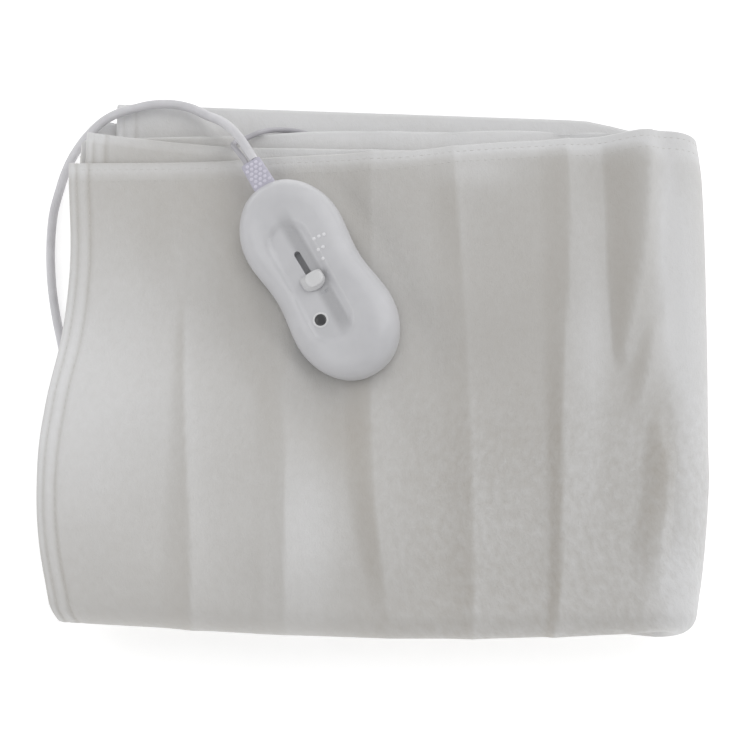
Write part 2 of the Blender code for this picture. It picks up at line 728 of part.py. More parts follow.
def build_plug(parts, materials):
    frame = bpy.data.objects.new("plug", None)
    parts.objects.link(frame)
    frame.matrix_world = Matrix.Translation(PLUG_PLACE) @ Matrix.Rotation(PLUG_TURN, 4, "Z")
    # distance along the plug, half width, half thickness: a sleeve, then the grip, then its face
    sections = ((0.0000, 0.0038, 0.0036), (0.0100, 0.0046, 0.0043), (0.0130, 0.0085, 0.0056),
                (0.0200, 0.0108, 0.0061), (0.0300, 0.0118, 0.0062), (0.0325, 0.0114, 0.0060))
    rings = []
    for x, half_y, half_z in sections:
        flat = oval_ring((0, 0), half_y, half_z, 0, 3.2, 24)
        rings.append([(x, y, z) for y, z, _ in flat])
    add_mesh_object("plug_body", loft("plug_body", rings), parts, materials["plug"], frame)
    for side, name in ((-1, "plug_blade_right"), (1, "plug_blade_left")):
        y = side * 0.00635
        blade = box_mesh(name, [((0.0325 + PIECE_GAP, y - 0.00075, -0.00315),
                                 (0.0485, y + 0.00075, 0.00315))])
        add_mesh_object(name, blade, parts, materials["metal"], frame)


def build_boot(parts, material):
    """The moulded end of the thin lead, sewn down on the cloth."""
    frame = bpy.data.objects.new("boot", None)
    parts.objects.link(frame)
    frame.matrix_world = Matrix.Translation(BOOT_PLACE) @ Matrix.Rotation(BOOT_TURN, 4, "Z")
    rings = []
    for x, half_y, half_z in ((0.0, 0.0028, 0.0023), (0.012, 0.0042, 0.0023),
                              (BOOT_LENGTH, 0.0056, 0.0012)):
        flat = oval_ring((0, 0), half_y, half_z, 0, 3.0, 20)
        rings.append([(x, y, z + half_z - 0.0023) for y, z, _ in flat])
    add_mesh_object("lead_boot", loft("lead_boot", rings), parts, material, frame)


# ---------------------------------------------------------------- build
def main():
    clear_scene()
    parts = new_collection("massage table warmer")
    cutters = new_collection("cutters")
    materials = {
        "fleece": new_material("fleece", (0.62, 0.60, 0.55), 0.95),
        "shell": new_material("shell plastic", (0.72, 0.72, 0.74), 0.35),
        "knob": new_material("knob plastic", (0.78, 0.78, 0.78), 0.30),
        "lens": new_material("dark lens", (0.01, 0.01, 0.012), 0.15),
        "relief": new_material("relief rubber", (0.60, 0.58, 0.68), 0.50),
        "cord": new_material("cord sheath", (0.50, 0.50, 0.50), 0.45),
        "plug": new_material("plug moulding", (0.58, 0.58, 0.58), 0.45),
        "metal": new_material("blade metal", (0.70, 0.66, 0.55), 0.30, 1.0),
    }
    build_blanket(parts, materials["fleece"])
    build_controller(parts, cutters, materials)
    build_cord("mains_cord", MAINS_ROUTE, MAINS_DIAMETER, parts, materials["cord"])
    build_coil("mains_cord_coil", MAINS_COIL, parts, materials["cord"])
    build_cord("mains_cord_tail", MAINS_TAIL_ROUTE, MAINS_DIAMETER, parts, materials["cord"], 1.3)
    build_plug(parts, materials)
    build_cord("blanket_lead", LEAD_ROUTE, LEAD_DIAMETER, parts, materials["cord"])
    build_coil("blanket_lead_coil", LEAD_COIL, parts, materials["cord"])
    build_cord("blanket_lead_tail", LEAD_TAIL_ROUTE, LEAD_DIAMETER, parts, materials["cord"], 2.0)
    build_boot(parts, materials["cord"])


main()
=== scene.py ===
from math import cos, pi, radians, sin

import bmesh
import bpy
import numpy as np
from mathutils import Matrix, Vector
from mathutils.bvhtree import BVHTree


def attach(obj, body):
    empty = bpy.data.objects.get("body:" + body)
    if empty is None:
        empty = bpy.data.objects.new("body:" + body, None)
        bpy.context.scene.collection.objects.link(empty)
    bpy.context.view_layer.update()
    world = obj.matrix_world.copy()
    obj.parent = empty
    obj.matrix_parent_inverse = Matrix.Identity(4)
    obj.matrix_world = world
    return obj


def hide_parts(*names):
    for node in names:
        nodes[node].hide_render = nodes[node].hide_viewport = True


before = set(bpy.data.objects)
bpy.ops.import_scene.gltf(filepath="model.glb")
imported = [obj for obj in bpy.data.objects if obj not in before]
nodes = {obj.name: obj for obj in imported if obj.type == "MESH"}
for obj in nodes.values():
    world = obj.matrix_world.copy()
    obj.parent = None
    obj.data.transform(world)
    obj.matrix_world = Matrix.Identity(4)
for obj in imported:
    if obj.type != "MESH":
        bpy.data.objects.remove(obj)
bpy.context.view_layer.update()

# metres, unless a note says millimetres; +Z up, the folded stack on the floor at z = 0
camera = {"elevation": 74, "distance": 1.3, "aim": (0, 0, 0.03), "lens": 107.38,
          "shift": (0.0086, -0.0073)}


def smoothStep(t):
    t = np.clip(t, 0, 1)
    return t * t * (3 - 2 * t)


def bell(offset, reach):
    return np.exp(-(offset / reach) ** 2)


def mix(a, b, t):
    return a + (b - a) * t


def signedPower(value, exponent):
    return np.sign(value) * np.abs(value) ** exponent


def catmull(a, b, c, d, t):
    return 0.5 * (2 * b + (c - a) * t + (2 * a - 5 * b + 4 * c - d) * t ** 2
                  + (3 * b - a - 3 * c + d) * t ** 3)


def finerRows(rows, count):
    # so many steps on a smooth curve from each row to the next
    rows = np.array(rows)
    ends = np.vstack([2 * rows[0] - rows[1], rows, 2 * rows[-1] - rows[-2]])
    fine = [catmull(*ends[n:n + 4], k / count) for n in range(len(rows) - 1) for k in range(count)]
    return np.array(fine + [rows[-1]])


def distanceFrom(points, axis=0):
    # how far along its line each point lies
    steps = np.linalg.norm(np.diff(points, axis=axis), axis=-1)
    zero = np.zeros_like(np.take(steps, [0], axis=axis))
    return np.concatenate([zero, np.cumsum(steps, axis=axis)], axis=axis)


def smoothPath(points, step):
    # even steps along a smooth curve through the points
    fine = finerRows(points, 16)
    reach = distanceFrom(fine)
    at = np.linspace(0, reach[-1], max(round(reach[-1] / step), 2) + 1)
    return np.stack([np.interp(at, reach, fine[:, k]) for k in range(3)], axis=1)


def pointsFrom(x, y, z):
    return np.stack(np.broadcast_arrays(x, y, z), axis=-1)


def unitRing(count, power=1, start=0):
    # x and y around a circle, squared off where the power is under 1
    angles = 2 * pi * (np.arange(count) + start) / count
    return signedPower(np.cos(angles), power), signedPower(np.sin(angles), power)


def newObject(name, data):
    piece = bpy.data.objects.new(name, data)
    bpy.context.scene.collection.objects.link(piece)
    return piece


def paint(piece, finishName):
    piece.data.materials.clear()
    piece.data.materials.append(materials[finishName])


def finish(piece, finishName=None, replaced=(), body="warmer"):
    # every piece rides on a body, may take a finish and may stand for CAD nodes, which are hidden
    if finishName:
        paint(piece, finishName)
    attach(piece, body)
    if replaced:
        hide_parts(*replaced)
    return piece


def settle(piece, place=None):
    # modifiers applied and the place put into the mesh
    bpy.context.view_layer.update()
    graph = bpy.context.evaluated_depsgraph_get()
    mesh = bpy.data.meshes.new_from_object(piece.evaluated_get(graph))
    mesh.transform(place or piece.matrix_world)
    name = piece.name
    bpy.data.objects.remove(piece, do_unlink=True)
    mesh.name = name
    return newObject(name, mesh)


def smoothMesh(mesh, sharpAngle):
    mesh.shade_smooth()
    mesh.set_sharp_from_angle(angle=radians(sharpAngle))


def loftMesh(name, rings, closed=False, sharpAngle=32):
    # a skin over the rings, capped at both ends, or closed into a band
    shape = bmesh.new()
    loops = [[shape.verts.new(point) for point in ring] for ring in rings]
    if closed:
        loops.append(loops[0])
    for lower, upper in zip(loops, loops[1:]):
        for n in range(len(lower)):
            after = (n + 1) % len(lower)
            shape.faces.new((lower[n], lower[after], upper[after], upper[n]))
    if not closed:
        shape.faces.new(loops[0][::-1])
        shape.faces.new(loops[-1])
    bmesh.ops.recalc_face_normals(shape, faces=shape.faces[:])
    mesh = bpy.data.meshes.new(name)
    shape.to_mesh(mesh)
    shape.free()
    smoothMesh(mesh, sharpAngle)
    return mesh


def vertexPlaces(mesh):
    # the x, y and z of every vertex
    place = np.zeros(len(mesh.vertices) * 3)
    mesh.vertices.foreach_get("co", place)
    return place.reshape(-1, 3).T


def storeValues(mesh, name, values):
    mesh.attributes.new(name, "FLOAT", "POINT").data.foreach_set("value", values)


def setInputs(tree, node, inputs):
    # a socket is linked, anything else is set as the input's value
    for label, value in inputs.items():
        if isinstance(value, bpy.types.NodeSocket):
            tree.links.new(value, node.inputs[label])
        else:
            node.inputs[label].default_value = value


def addNode(tree, kind, inputs, output=0, **settings):
    node = tree.nodes.new(kind)
    for label, value in settings.items():
        setattr(node, label, value)
    setInputs(tree, node, inputs)
    return node.outputs[output]


def scatterTree(name, subdivisions, alongLine=False):
    # a small round shape on each point of the guide, or on each step along its line
    tree = bpy.data.node_groups.new(name, "GeometryNodeTree")
    sockets = [("Geometry", "Geometry"), ("Size", "Vector"), ("Finish", "Material")]
    for label, kind in sockets + [("Pitch", "Float")] * alongLine:
        tree.interface.new_socket(label, in_out="INPUT", socket_type="NodeSocket" + kind)
    tree.interface.new_socket("Geometry", in_out="OUTPUT", socket_type="NodeSocketGeometry")
    given = tree.nodes.new("NodeGroupInput").outputs
    ball = addNode(tree, "GeometryNodeMeshIcoSphere", {"Radius": 0.5, "Subdivisions": subdivisions})
    laid = {"Points": given["Geometry"], "Instance": ball, "Scale": given["Size"]}
    if alongLine:
        line = addNode(tree, "GeometryNodeMeshToCurve", {"Mesh": given["Geometry"]})
        laid["Points"] = addNode(tree, "GeometryNodeResampleCurve",
                                 {"Curve": line, "Length": given["Pitch"]}, mode="LENGTH")
        tangent = addNode(tree, "GeometryNodeInputTangent", {})
        laid["Rotation"] = addNode(tree, "FunctionNodeAlignRotationToVector", {"Vector": tangent},
                                   axis="Z")
    lay = addNode(tree, "GeometryNodeInstanceOnPoints", laid)
    real = addNode(tree, "GeometryNodeRealizeInstances", {"Geometry": lay})
    coated = addNode(tree, "GeometryNodeSetMaterial",
                     {"Geometry": real, "Material": given["Finish"]})
    setInputs(tree, tree.nodes.new("NodeGroupOutput"), {"Geometry": coated})
    return tree


def scatter(name, points, size, finishName, subdivisions=3, place=None, edges=(),
            pitch=None):
    # inputs set by identifier, result made a plain mesh in its place
    mesh = bpy.data.meshes.new(name)
    mesh.from_pydata([tuple(point) for point in points], list(edges), [])
    guide = newObject(name, mesh)
    step = guide.modifiers.new(name, "NODES")
    step.node_group = scatterTree(name, subdivisions, pitch is not None)
    values = {"Size": size, "Finish": materials[finishName], "Pitch": pitch}
    for socket in step.node_group.interface.items_tree:
        if socket.item_type == "SOCKET" and socket.name in values:
            step[socket.identifier] = values[socket.name]
    made = finish(settle(guide, place))
    made.data.shade_smooth()
    print(name, "has", len(made.data.polygons), "faces")


def startMaterial(name, colour, roughness):
    material = bpy.data.materials.new(name)
    material.use_nodes = True
    tree = material.node_tree
    shader = tree.nodes["Principled BSDF"]
    setInputs(tree, shader, {"Base Color": (*colour, 1), "Roughness": roughness})
    return material, tree, shader


def noiseTexture(tree, place, scale, detail, roughness=0.55, distortion=0):
    return addNode(tree, "ShaderNodeTexNoise",
                   {"Vector": place, "Scale": scale, "Detail": detail, "Roughness": roughness,
                    "Distortion": distortion})


def colourRamp(tree, factor, stops):
    ramp = addNode(tree, "ShaderNodeValToRGB", {"Fac": factor})
    marks = ramp.node.color_ramp.elements
    for mark, (position, colour) in ((marks[0], stops[0]), (marks[1], stops[-1])):
        mark.position, mark.color = position, (*colour, 1)
    for position, colour in stops[1:-1]:
        marks.new(position).color = (*colour, 1)
    return ramp


def clouded(tree, cloud, colour, low, high):
    # the colour a touch darker and a touch paler in soft clouds
    return colourRamp(tree, cloud, [(at, [min(c * share, 1) for c in colour])
                                    for at, share in ((0.35, low), (0.65, high))])


def mathNode(tree, operation, *values):
    return addNode(tree, "ShaderNodeMath", dict(enumerate(values)), operation=operation)


def scaled(tree, value, factor, added):
    return mathNode(tree, "MULTIPLY_ADD", value, factor, added)


def attributeValue(tree, name):
    return addNode(tree, "ShaderNodeAttribute", {}, "Fac", attribute_name=name)


def bumpNode(tree, height, strength, distance, **under):
    return addNode(tree, "ShaderNodeBump",
                   {"Height": height, "Strength": strength, "Distance": distance, **under})


def objectPlace(tree):
    return addNode(tree, "ShaderNodeTexCoord", {}, "Object")


def mapped(tree, place, scale):
    return addNode(tree, "ShaderNodeMapping", {"Vector": place, "Scale": scale})


def brushedFleece():
    # a short brushed nap on the cloth's own map: soft mottling, fine fibres and small pills
    material, tree, shader = startMaterial("brushedFleece", (0.56, 0.555, 0.54), 0.95)
    place = addNode(tree, "ShaderNodeUVMap", {}, uv_map="clothMap")
    broad = noiseTexture(tree, place, 14, 2)
    mottle = noiseTexture(tree, mapped(tree, place, (1, 0.7, 1)), 240, 3, 0.6)
    fibres = noiseTexture(tree, mapped(tree, place, (1, 0.45, 1)), 1100, 3, 0.7, 0.6)
    uneven = mathNode(tree, "MULTIPLY", mathNode(tree, "SUBTRACT", mottle, 0.5),
                      attributeValue(tree, "napRuffle"))
    # painted light and shade stored on the cloth, shifted so that with the broad cloud 0.5 stays
    # the plain colour
    paintedTone = mathNode(tree, "SUBTRACT", attributeValue(tree, "paintedLightAndShade"), 0.1)
    tone = scaled(tree, broad, 0.2, scaled(tree, uneven, 0.42, paintedTone))
    soft = bumpNode(tree, uneven, 0.45, 0.0012)
    # the dark end warm and the pale end cool: painted shade and painted light take these colours
    shades = ((0, (0.436, 0.406, 0.366)), (0.5, (0.563, 0.551, 0.533)), (1, (0.745, 0.745, 0.75)))
    setInputs(tree, shader, {
        "Base Color": colourRamp(tree, tone, shades),
        "Normal": bumpNode(tree, fibres, 0.45, 0.0005, Normal=soft),
        "Sheen Weight": 0.35, "Sheen Roughness": 0.5, "Specular IOR Level": 0.15})
    return material


def plastic(name, colour, roughness, grain=0.12, coat=0):
    # moulded plastic: a very fine grain and a little unevenness in its gloss
    material, tree, shader = startMaterial(name, colour, roughness)
    place = objectPlace(tree)
    cloud = noiseTexture(tree, place, 60, 2)
    setInputs(tree, shader, {
        "Base Color": clouded(tree, cloud, colour, 0.965, 1.02),
        "Roughness": scaled(tree, cloud, 0.1, roughness - 0.05),
        "Normal": bumpNode(tree, noiseTexture(tree, place, 1800, 2), grain, 0.0002),
        "Coat Weight": coat, "Coat Roughness": 0.15})
    return material


def plasticWithPaintedShade(name, colour, roughness):
    # as the plain shell, but with painted shade on the trough's right side, darker and grainier
    material = plastic(name, colour, roughness, coat=0.25)
    tree = material.node_tree
    shader = tree.nodes["Principled BSDF"]
    speckle = noiseTexture(tree, objectPlace(tree), 900, 2, 0.7)
    amount = mathNode(tree, "MULTIPLY", attributeValue(tree, "troughPaintedShade"),
                      scaled(tree, speckle, 0.7, 0.65))
    plain = shader.inputs["Base Color"].links[0].from_socket
    # the painted shade's colour
    troughPaintedShade = (*(c * 0.74 for c in colour), 1)
    # a colour mix has its factor at 0, its colours at 6 and 7 and its result at 2
    blend = addNode(tree, "ShaderNodeMix", {0: amount, 6: plain, 7: troughPaintedShade}, 2, data_type="RGBA")
    setInputs(tree, shader, {"Base Color": blend})
    return material


def cordSheath(name, colour):
    # soft PVC with faint drawing marks
    material, tree, shader = startMaterial(name, colour, 0.42)
    place = objectPlace(tree)
    setInputs(tree, shader, {
        "Base Color": clouded(tree, noiseTexture(tree, place, 90, 3), colour, 0.96, 1.04),
        "Normal": bumpNode(tree, noiseTexture(tree, place, 700, 2), 0.1, 0.0004)})
    return material


def bladeMetal():
    material, tree, shader = startMaterial("bladeMetal", (0.72, 0.66, 0.5), 0.28)
    scuffs = noiseTexture(tree, mapped(tree, objectPlace(tree), (1, 1, 9)), 300, 4)
    setInputs(tree, shader, {"Metallic": 1, "Roughness": scaled(tree, scuffs, 0.2, 0.16)})
    return material


def floorPaint():
    material, tree, shader = startMaterial("palePaper", (0.86, 0.86, 0.86), 0.9)
    setInputs(tree, shader, {"Emission Color": (1, 1, 1, 1), "Emission Strength": 0.48})
    return material


materials = {
    "fleece": brushedFleece(),
    "shell": plastic("shellPlastic", (0.6, 0.603, 0.615), 0.42, coat=0.1),
    "face": plasticWithPaintedShade("facePlastic", (0.6, 0.6, 0.62), 0.34),
    "knob": plastic("knobPlastic", (0.6, 0.6, 0.61), 0.36, coat=0.1),
    # paler than the knob below it: a painted highlight on the pad's raised top
    "knobCap": plastic("knobCap", (0.7, 0.7, 0.71), 0.34, coat=0.15),
    "lens": plastic("smokedLens", (0.055, 0.055, 0.058), 0.22, grain=0.02, coat=0.4),
    "relief": plastic("reliefRubber", (0.53, 0.515, 0.6), 0.6, grain=0.2),
    "pad": plastic("reliefPad", (0.7, 0.68, 0.775), 0.5, grain=0.2),
    "cord": cordSheath("cordSheath", (0.67, 0.665, 0.69)),
    "lead": cordSheath("leadSheath", (0.47, 0.46, 0.49)),
    "plug": plastic("plugMoulding", (0.58, 0.58, 0.59), 0.5),
    "blade": bladeMetal(),
    "thread": plastic("hemThread", (0.62, 0.61, 0.59), 0.7),
    "mark": plastic("mouldedMark", (0.5, 0.51, 0.53), 0.5),
    "dot": plastic("scaleDot", (0.8, 0.8, 0.82), 0.4),
    "bezel": plastic("lensBezel", (0.72, 0.72, 0.73), 0.3, coat=0.3),
    "floor": floorPaint(),
}
print("materials ready")

cameraData = bpy.data.cameras.new("camera")
cameraObject = newObject("camera", cameraData)
tilt = radians(camera["elevation"])
distance, (aimX, aimY, aimZ) = camera["distance"], camera["aim"]
cameraObject.location = (aimX, aimY - distance * cos(tilt), aimZ + distance * sin(tilt))
cameraObject.rotation_euler = (pi / 2 - tilt, 0, 0)
cameraData.lens = camera["lens"]
cameraData.shift_x, cameraData.shift_y = camera["shift"]
bpy.context.scene.camera = cameraObject

# in millimetres; route and tail are x, y, z given along each cord
mainsCord = {
    "diameter": 5.5, "length": 1830,
    "route": (
        (-68.15, 119.38, 59.9), (-71.2, 124.6, 60), (-75.2, 131.4, 58.8), (-80, 139.1, 54.3),
        (-85.2, 146.7, 46.2), (-90.8, 153.8, 36.6), (-98.5, 160.5, 27.5), (-108.5, 166.8, 23.6),
        (-120, 169.4, 23.1), (-132, 169, 23.1), (-143, 166.2, 23.4), (-153.5, 162.4, 24.1),
        (-163, 158.2, 19.6), (-172.2, 152, 12), (-179.8, 143.8, 5.6), (-184.6, 134, 3.3),
        (-188.2, 121, 3.1), (-191.2, 106, 3.1), (-192, 86, 3.1), (-190.6, 64, 3.1),
        (-187.4, 44, 3.1), (-183.2, 26, 4), (-179, 9, 8), (-174.8, -6, 15), (-170.4, -19, 21.5),
        (-165, -32, 24), (-158.5, -44, 24), (-153, -57, 23.8), (-150.5, -72, 23.6),
    ),
    "coil": {"middle": (-105, -72), "foot": 20.3, "inner": 22.4, "pitch": 5.6, "join": 45.6,
             "start": 180, "below": 4, "above": 3 + 1 / 3},
    "tail": (
        (-82.2, -111.5, 29), (-76.4, -107.8, 28.5), (-70, -104.1, 27.7), (-63.6, -100.4, 27),
    ),
}
leadCord = {
    "diameter": 3.2, "length": 820,
    "route": (
        (-72.25, 116.97, 59.2), (-74.8, 121.3, 59.1), (-78.4, 127, 56.1), (-80.8, 132.2, 50),
        (-79.9, 136.8, 43.1), (-74, 141, 39.3), (-67.2, 145.6, 36), (-61.2, 149.8, 29.8),
        (-54, 152.6, 23.6), (-44, 152.2, 21.9), (-34, 149, 21.9), (-22, 143, 21.9),
        (-8, 133, 21.9), (7, 119, 21.9), (20, 103, 21.9), (28.3, 88, 21.9), (30.3, 75, 21.9),
    ),
    "coil": {"middle": (55, 75), "foot": 20.3, "inner": 14.5, "pitch": 3.28, "join": 24.7,
             "start": 180, "below": 3, "above": 2.5},
    "tail": (
        (79.7, 75, 25.2), (79.7, 82, 24.9), (79.2, 89, 24.1), (78.4, 96, 23.2), (77.6, 103, 22.8),
    ),
}


def coilTurns(coil, diameter):
    # one layer wound inwards, then one on top of it outwards; a turn steps over in its first part
    below, above = coil["below"], coil["above"]
    stepPart, fadePart, climbPart, stepsInTurn = 0.16, 0.14, 0.2, 36
    joinTurn = (coil["join"] - coil["inner"]) / coil["pitch"]
    points = []
    for n in range(1, round((below + above) * stepsInTurn)):
        turn = n / stepsInTurn
        whole, part = int(turn), turn - int(turn)
        move = smoothStep(part / stepPart)
        if turn < below:
            ring = mix(joinTurn if whole == 0 else below - whole, below - 1 - whole, move)
        else:
            ring = max(whole - below - 1 + move, 0)
        ring = mix(ring, joinTurn, smoothStep((turn - (below + above) + fadePart) / fadePart))
        climb = smoothStep((turn - below + climbPart) / climbPart)
        angle = radians(coil["start"]) + 2 * pi * turn
        radius = coil["inner"] + coil["pitch"] * ring
        # each layer lies on what is under it with a whisker of room
        points.append((coil["middle"][0] + radius * cos(angle),
                       coil["middle"][1] + radius * sin(angle),
                       coil["foot"] + diameter * (0.52 + 1.01 * climb)))
    return points


def makeCord(name, cord, finishName, replaced):
    diameter = cord["diameter"] / 1000
    turned = coilTurns(cord["coil"], cord["diameter"])
    path = np.concatenate([cord["route"], turned, cord["tail"]]) / 1000
    path = smoothPath(path, 0.45 * diameter)
    curve = bpy.data.curves.new(name, "CURVE")
    curve.dimensions = "3D"
    curve.bevel_depth = diameter / 2
    curve.bevel_resolution = 4
    curve.use_fill_caps = True
    spline = curve.splines.new("POLY")
    spline.points.add(len(path) - 1)
    for point, place in zip(spline.points, path):
        point.co = (*place, 1)
    spline.use_smooth = True
    piece = finish(newObject(name, curve), finishName, replaced)
    print(name, "is", round(float(distanceFrom(path)[-1]), 3), "m long")


makeCord("supplyCord", mainsCord, "cord", ("mains_cord", "mains_cord_coil", "mains_cord_tail"))
makeCord("blanketLead", leadCord, "lead",
         ("blanket_lead", "blanket_lead_coil", "blanket_lead_tail"))
print("cords laid")

blanket = {
    "thickness": 0.003, "layerGap": 0.0004, "halfGap": 0.0002, "layers": 6,
    "base": 0.0034, "creaseFloor": 0.0006, "rollShare": 0.35, "nearShare": 0.5,
    # two of these paint light and shade into the nap: the far lower layers paler, the folds'
    # climbing sides darker
    "cornerTuck": 0.0034, "foldScale": 1.52, "farDroop": 0.0022, "farLayerPaintedLight": 0.6,
    "slopePaintedShade": 0.46, "lipRun": 0.0045, "rollFade": 0.022, "hangStart": 0.146, "hangFade": 0.03,
    # round the controller: where its seat ends and fades, and how the cloth laps against its side
    "seatReach": (0.026, 0.06), "seatEnd": 1.75, "seatFade": 0.75,
    "lap": 0.0056, "lapAt": 1.03, "lapReach": 0.11, "lapFade": 0.34, "lapEnd": 0.066,
    # how much of the creases each layer shows, from the top one down
    "creaseShare": (1, 0.62, 0.36, 0.18, 0.07, 0),
}
pitch = blanket["thickness"] + blanket["layerGap"]
innerRadius = blanket["halfGap"] + blanket["thickness"] / 2
outerRadius = innerRadius + (blanket["layers"] - 1) * pitch
axisZ = outerRadius + blanket["thickness"] / 2
stackTop = 2 * axisZ

# the blanket's tables are in millimetres
# where the sheet turns: layer before and after, then Y at the left, the middle and the right of
# the top half, just under the right roll, and at the left underneath
turns = (
    ("farEnd", 1, 1, (124, 129, 145, 144, 142)),
    ("nearRoll", 1, 6, (-143, -151.8, -148.6, -144, -134)),
    ("farFoldC", 6, 5, (137, 141, 150, 158.5, 171.2)),
    ("nearFoldB", 5, 4, (-130, -139, -137, -132, -121)),
    ("farFoldB", 4, 3, (142.5, 146, 147, 150, 162)),
    ("nearFoldA", 3, 2, (-130, -139, -137, -132, -121)),
    ("innerEnd", 2, 2, (145.5, 132.5, 144, 146, 152)),
)
# how far each layer's side hem stands in: above, then underneath at the far and the near side
hems = np.array(((0, 6, 4), (9, 4, 2), (5, 0, 3), (8, 2, 1), (4, 15, 3), (7, 15.5, 0))) / 1000
hemTurn = (0.16, 0.02)  # metres
# y, x along the left edge above and underneath, and along the right roll's axis
leftEdge = ((170, -176), (124, -177.5), (65, -174.5), (20, -177.5),
            (-30, -185), (-62, -187.5), (-100, -185.5), (-150, -177))
leftUnder = ((175, -169), (120, -166.5), (20, -164), (-140, -162))
rollAxis = ((160, 171.5), (120, 175.5), (40, 175), (-60, 172), (-110, 167), (-160, 160))
# each soft fold climbs from its foot to its crest and falls away to the right over its run;
# its line from far to near: y, foot x, crest x, height
folds = {
    "hemSide": {"crisp": 0, "lip": 0, "run": 0.06, "line": (
        (110, -142, -118, 0), (80, -140, -115, 1), (55, -136, -112, 0.6), (40, -130, -110, 0))},
    "leftLong": {"crisp": 0.8, "lip": 0.4, "run": 0.034, "line": (
        (45, -113, -108, 0), (15, -113.5, -106.8, 1.2), (-20, -114.5, -105.2, 1.6),
        (-55, -116, -103.2, 2), (-90, -117.5, -101, 2.4), (-120, -118, -99.5, 2.4),
        (-145, -117.5, -99, 1.8), (-165, -117, -98.5, 1.2))},
    "beforeSeat": {"crisp": 0, "lip": 0, "run": 0.05, "line": (
        (120, -96, -70, 1), (80, -95, -56, 2.2), (30, -94, -47, 3.4), (5, -86, -44, 3),
        (-15, -70, -50, 2.2), (-60, -66, -50, 0.8), (-110, -68, -56, 0.5),
        (-150, -68, -58, 0.3))},
    "puffLeft": {"crisp": 0.8, "lip": 0.35, "run": 0.036, "line": (
        (-20, -57, -50, 0), (-50, -58, -48, 0.6), (-90, -58, -48, 1.4), (-130, -58, -48, 1.2),
        (-150, -58, -48, 0.4))},
    "middleDark": {"crisp": 0.3, "lip": 0.3, "run": 0.026, "line": (
        (0, -17, 0, 0.8), (-20, -16.5, 0, 2.6), (-60, -16, 1, 3.4), (-90, -13, 3, 3.6),
        (-115, -8, 6, 2.6), (-135, -3, 8, 1), (-150, 0, 10, 0.4))},
    "centreLong": {"crisp": 0.7, "lip": 0.3, "run": 0.04, "line": (
        (125, 32, 48.2, 1.2), (90, 33, 50, 1.8), (50, 34.5, 52.5, 1), (0, 36, 55, 1),
        (-60, 37, 56.5, 2), (-110, 37.5, 57, 2.4), (-140, 38, 56.8, 2), (-165, 38.5, 56.5, 1.2))},
    "rightDeep": {"crisp": 0.5, "lip": 0.4, "run": 0.036, "line": (
        (130, 96, 115, 2.2), (80, 96, 115, 2.6), (40, 96, 113, 2.2), (0, 96.8, 109.8, 2.5),
        (-60, 97.6, 107.8, 2.8), (-110, 98, 106, 2.7), (-135, 97, 104, 2.2),
        (-165, 94, 100, 1.4))},
    "rollTrough": {"crisp": -0.6, "lip": 0, "run": 0.016, "line": (
        (145, 135, 164, 4.4), (100, 136, 161, 5), (60, 136, 156, 4.6), (30, 137, 150, 3.6),
        (10, 138, 146, 2), (-5, 139, 145, 0))},
    "rollSlant": {"crisp": 0.2, "lip": 0.1, "run": 0.016, "line": (
        (32, 154, 164, 0), (15, 151, 161, 1.8), (0, 147, 158, 2), (-20, 143, 153, 0.8),
        (-34, 141, 150, 0))},
    "rollDent": {"crisp": -0.2, "lip": 0, "run": 0.014, "line": (
        (-25, 158, 163, 0), (-40, 155, 164, 2), (-60, 152, 167, 4.2), (-80, 150, 166, 4.2),
        (-100, 145, 163, 3.8), (-122, 145, 161, 1.2), (-135, 145, 160, 0))},
}
# painted light and shade on the nap, paler or duller: x, y, reach across, reach along, amount
paintedLightPatches = (
    (-170, -15, 75, 85, 0.38), (-90, 90, 50, 40, -0.12), (-34, -100, 20, 45, 0.32),
    (60, 20, 70, 110, -0.1), (125, -60, 30, 100, 0.06), (50, -125, 60, 20, -0.05),
    (20, 30, 30, 50, 0.12), (185, 0, 16, 190, 0.45), (174, 55, 8, 60, 0.45),
    (128, 5, 11, 70, 0.28), (60, 117, 26, 10, 0.26), (172, -135, 16, 30, 0.42),
    (0, -152, 400, 8, -0.05), (-125, 137, 60, 11, -0.55), (168, -50, 7, 30, -0.3),
    (-18, -45, 12, 25, -0.16), (133, -50, 8, 45, -0.16),
)
# what lies in the pocket lifts the top half: x, y, flat radius, fade, lift
mounds = (
    (-105, -72, 47, 64, 13.4), (-42, -88, 25, 60, 13.6), (-162, -40, 18, 50, 8),
    (55, 75, 24, 70, 8.6), (-15, 140, 18, 45, 4.6), (77, 112, 14, 40, 6.2),
)

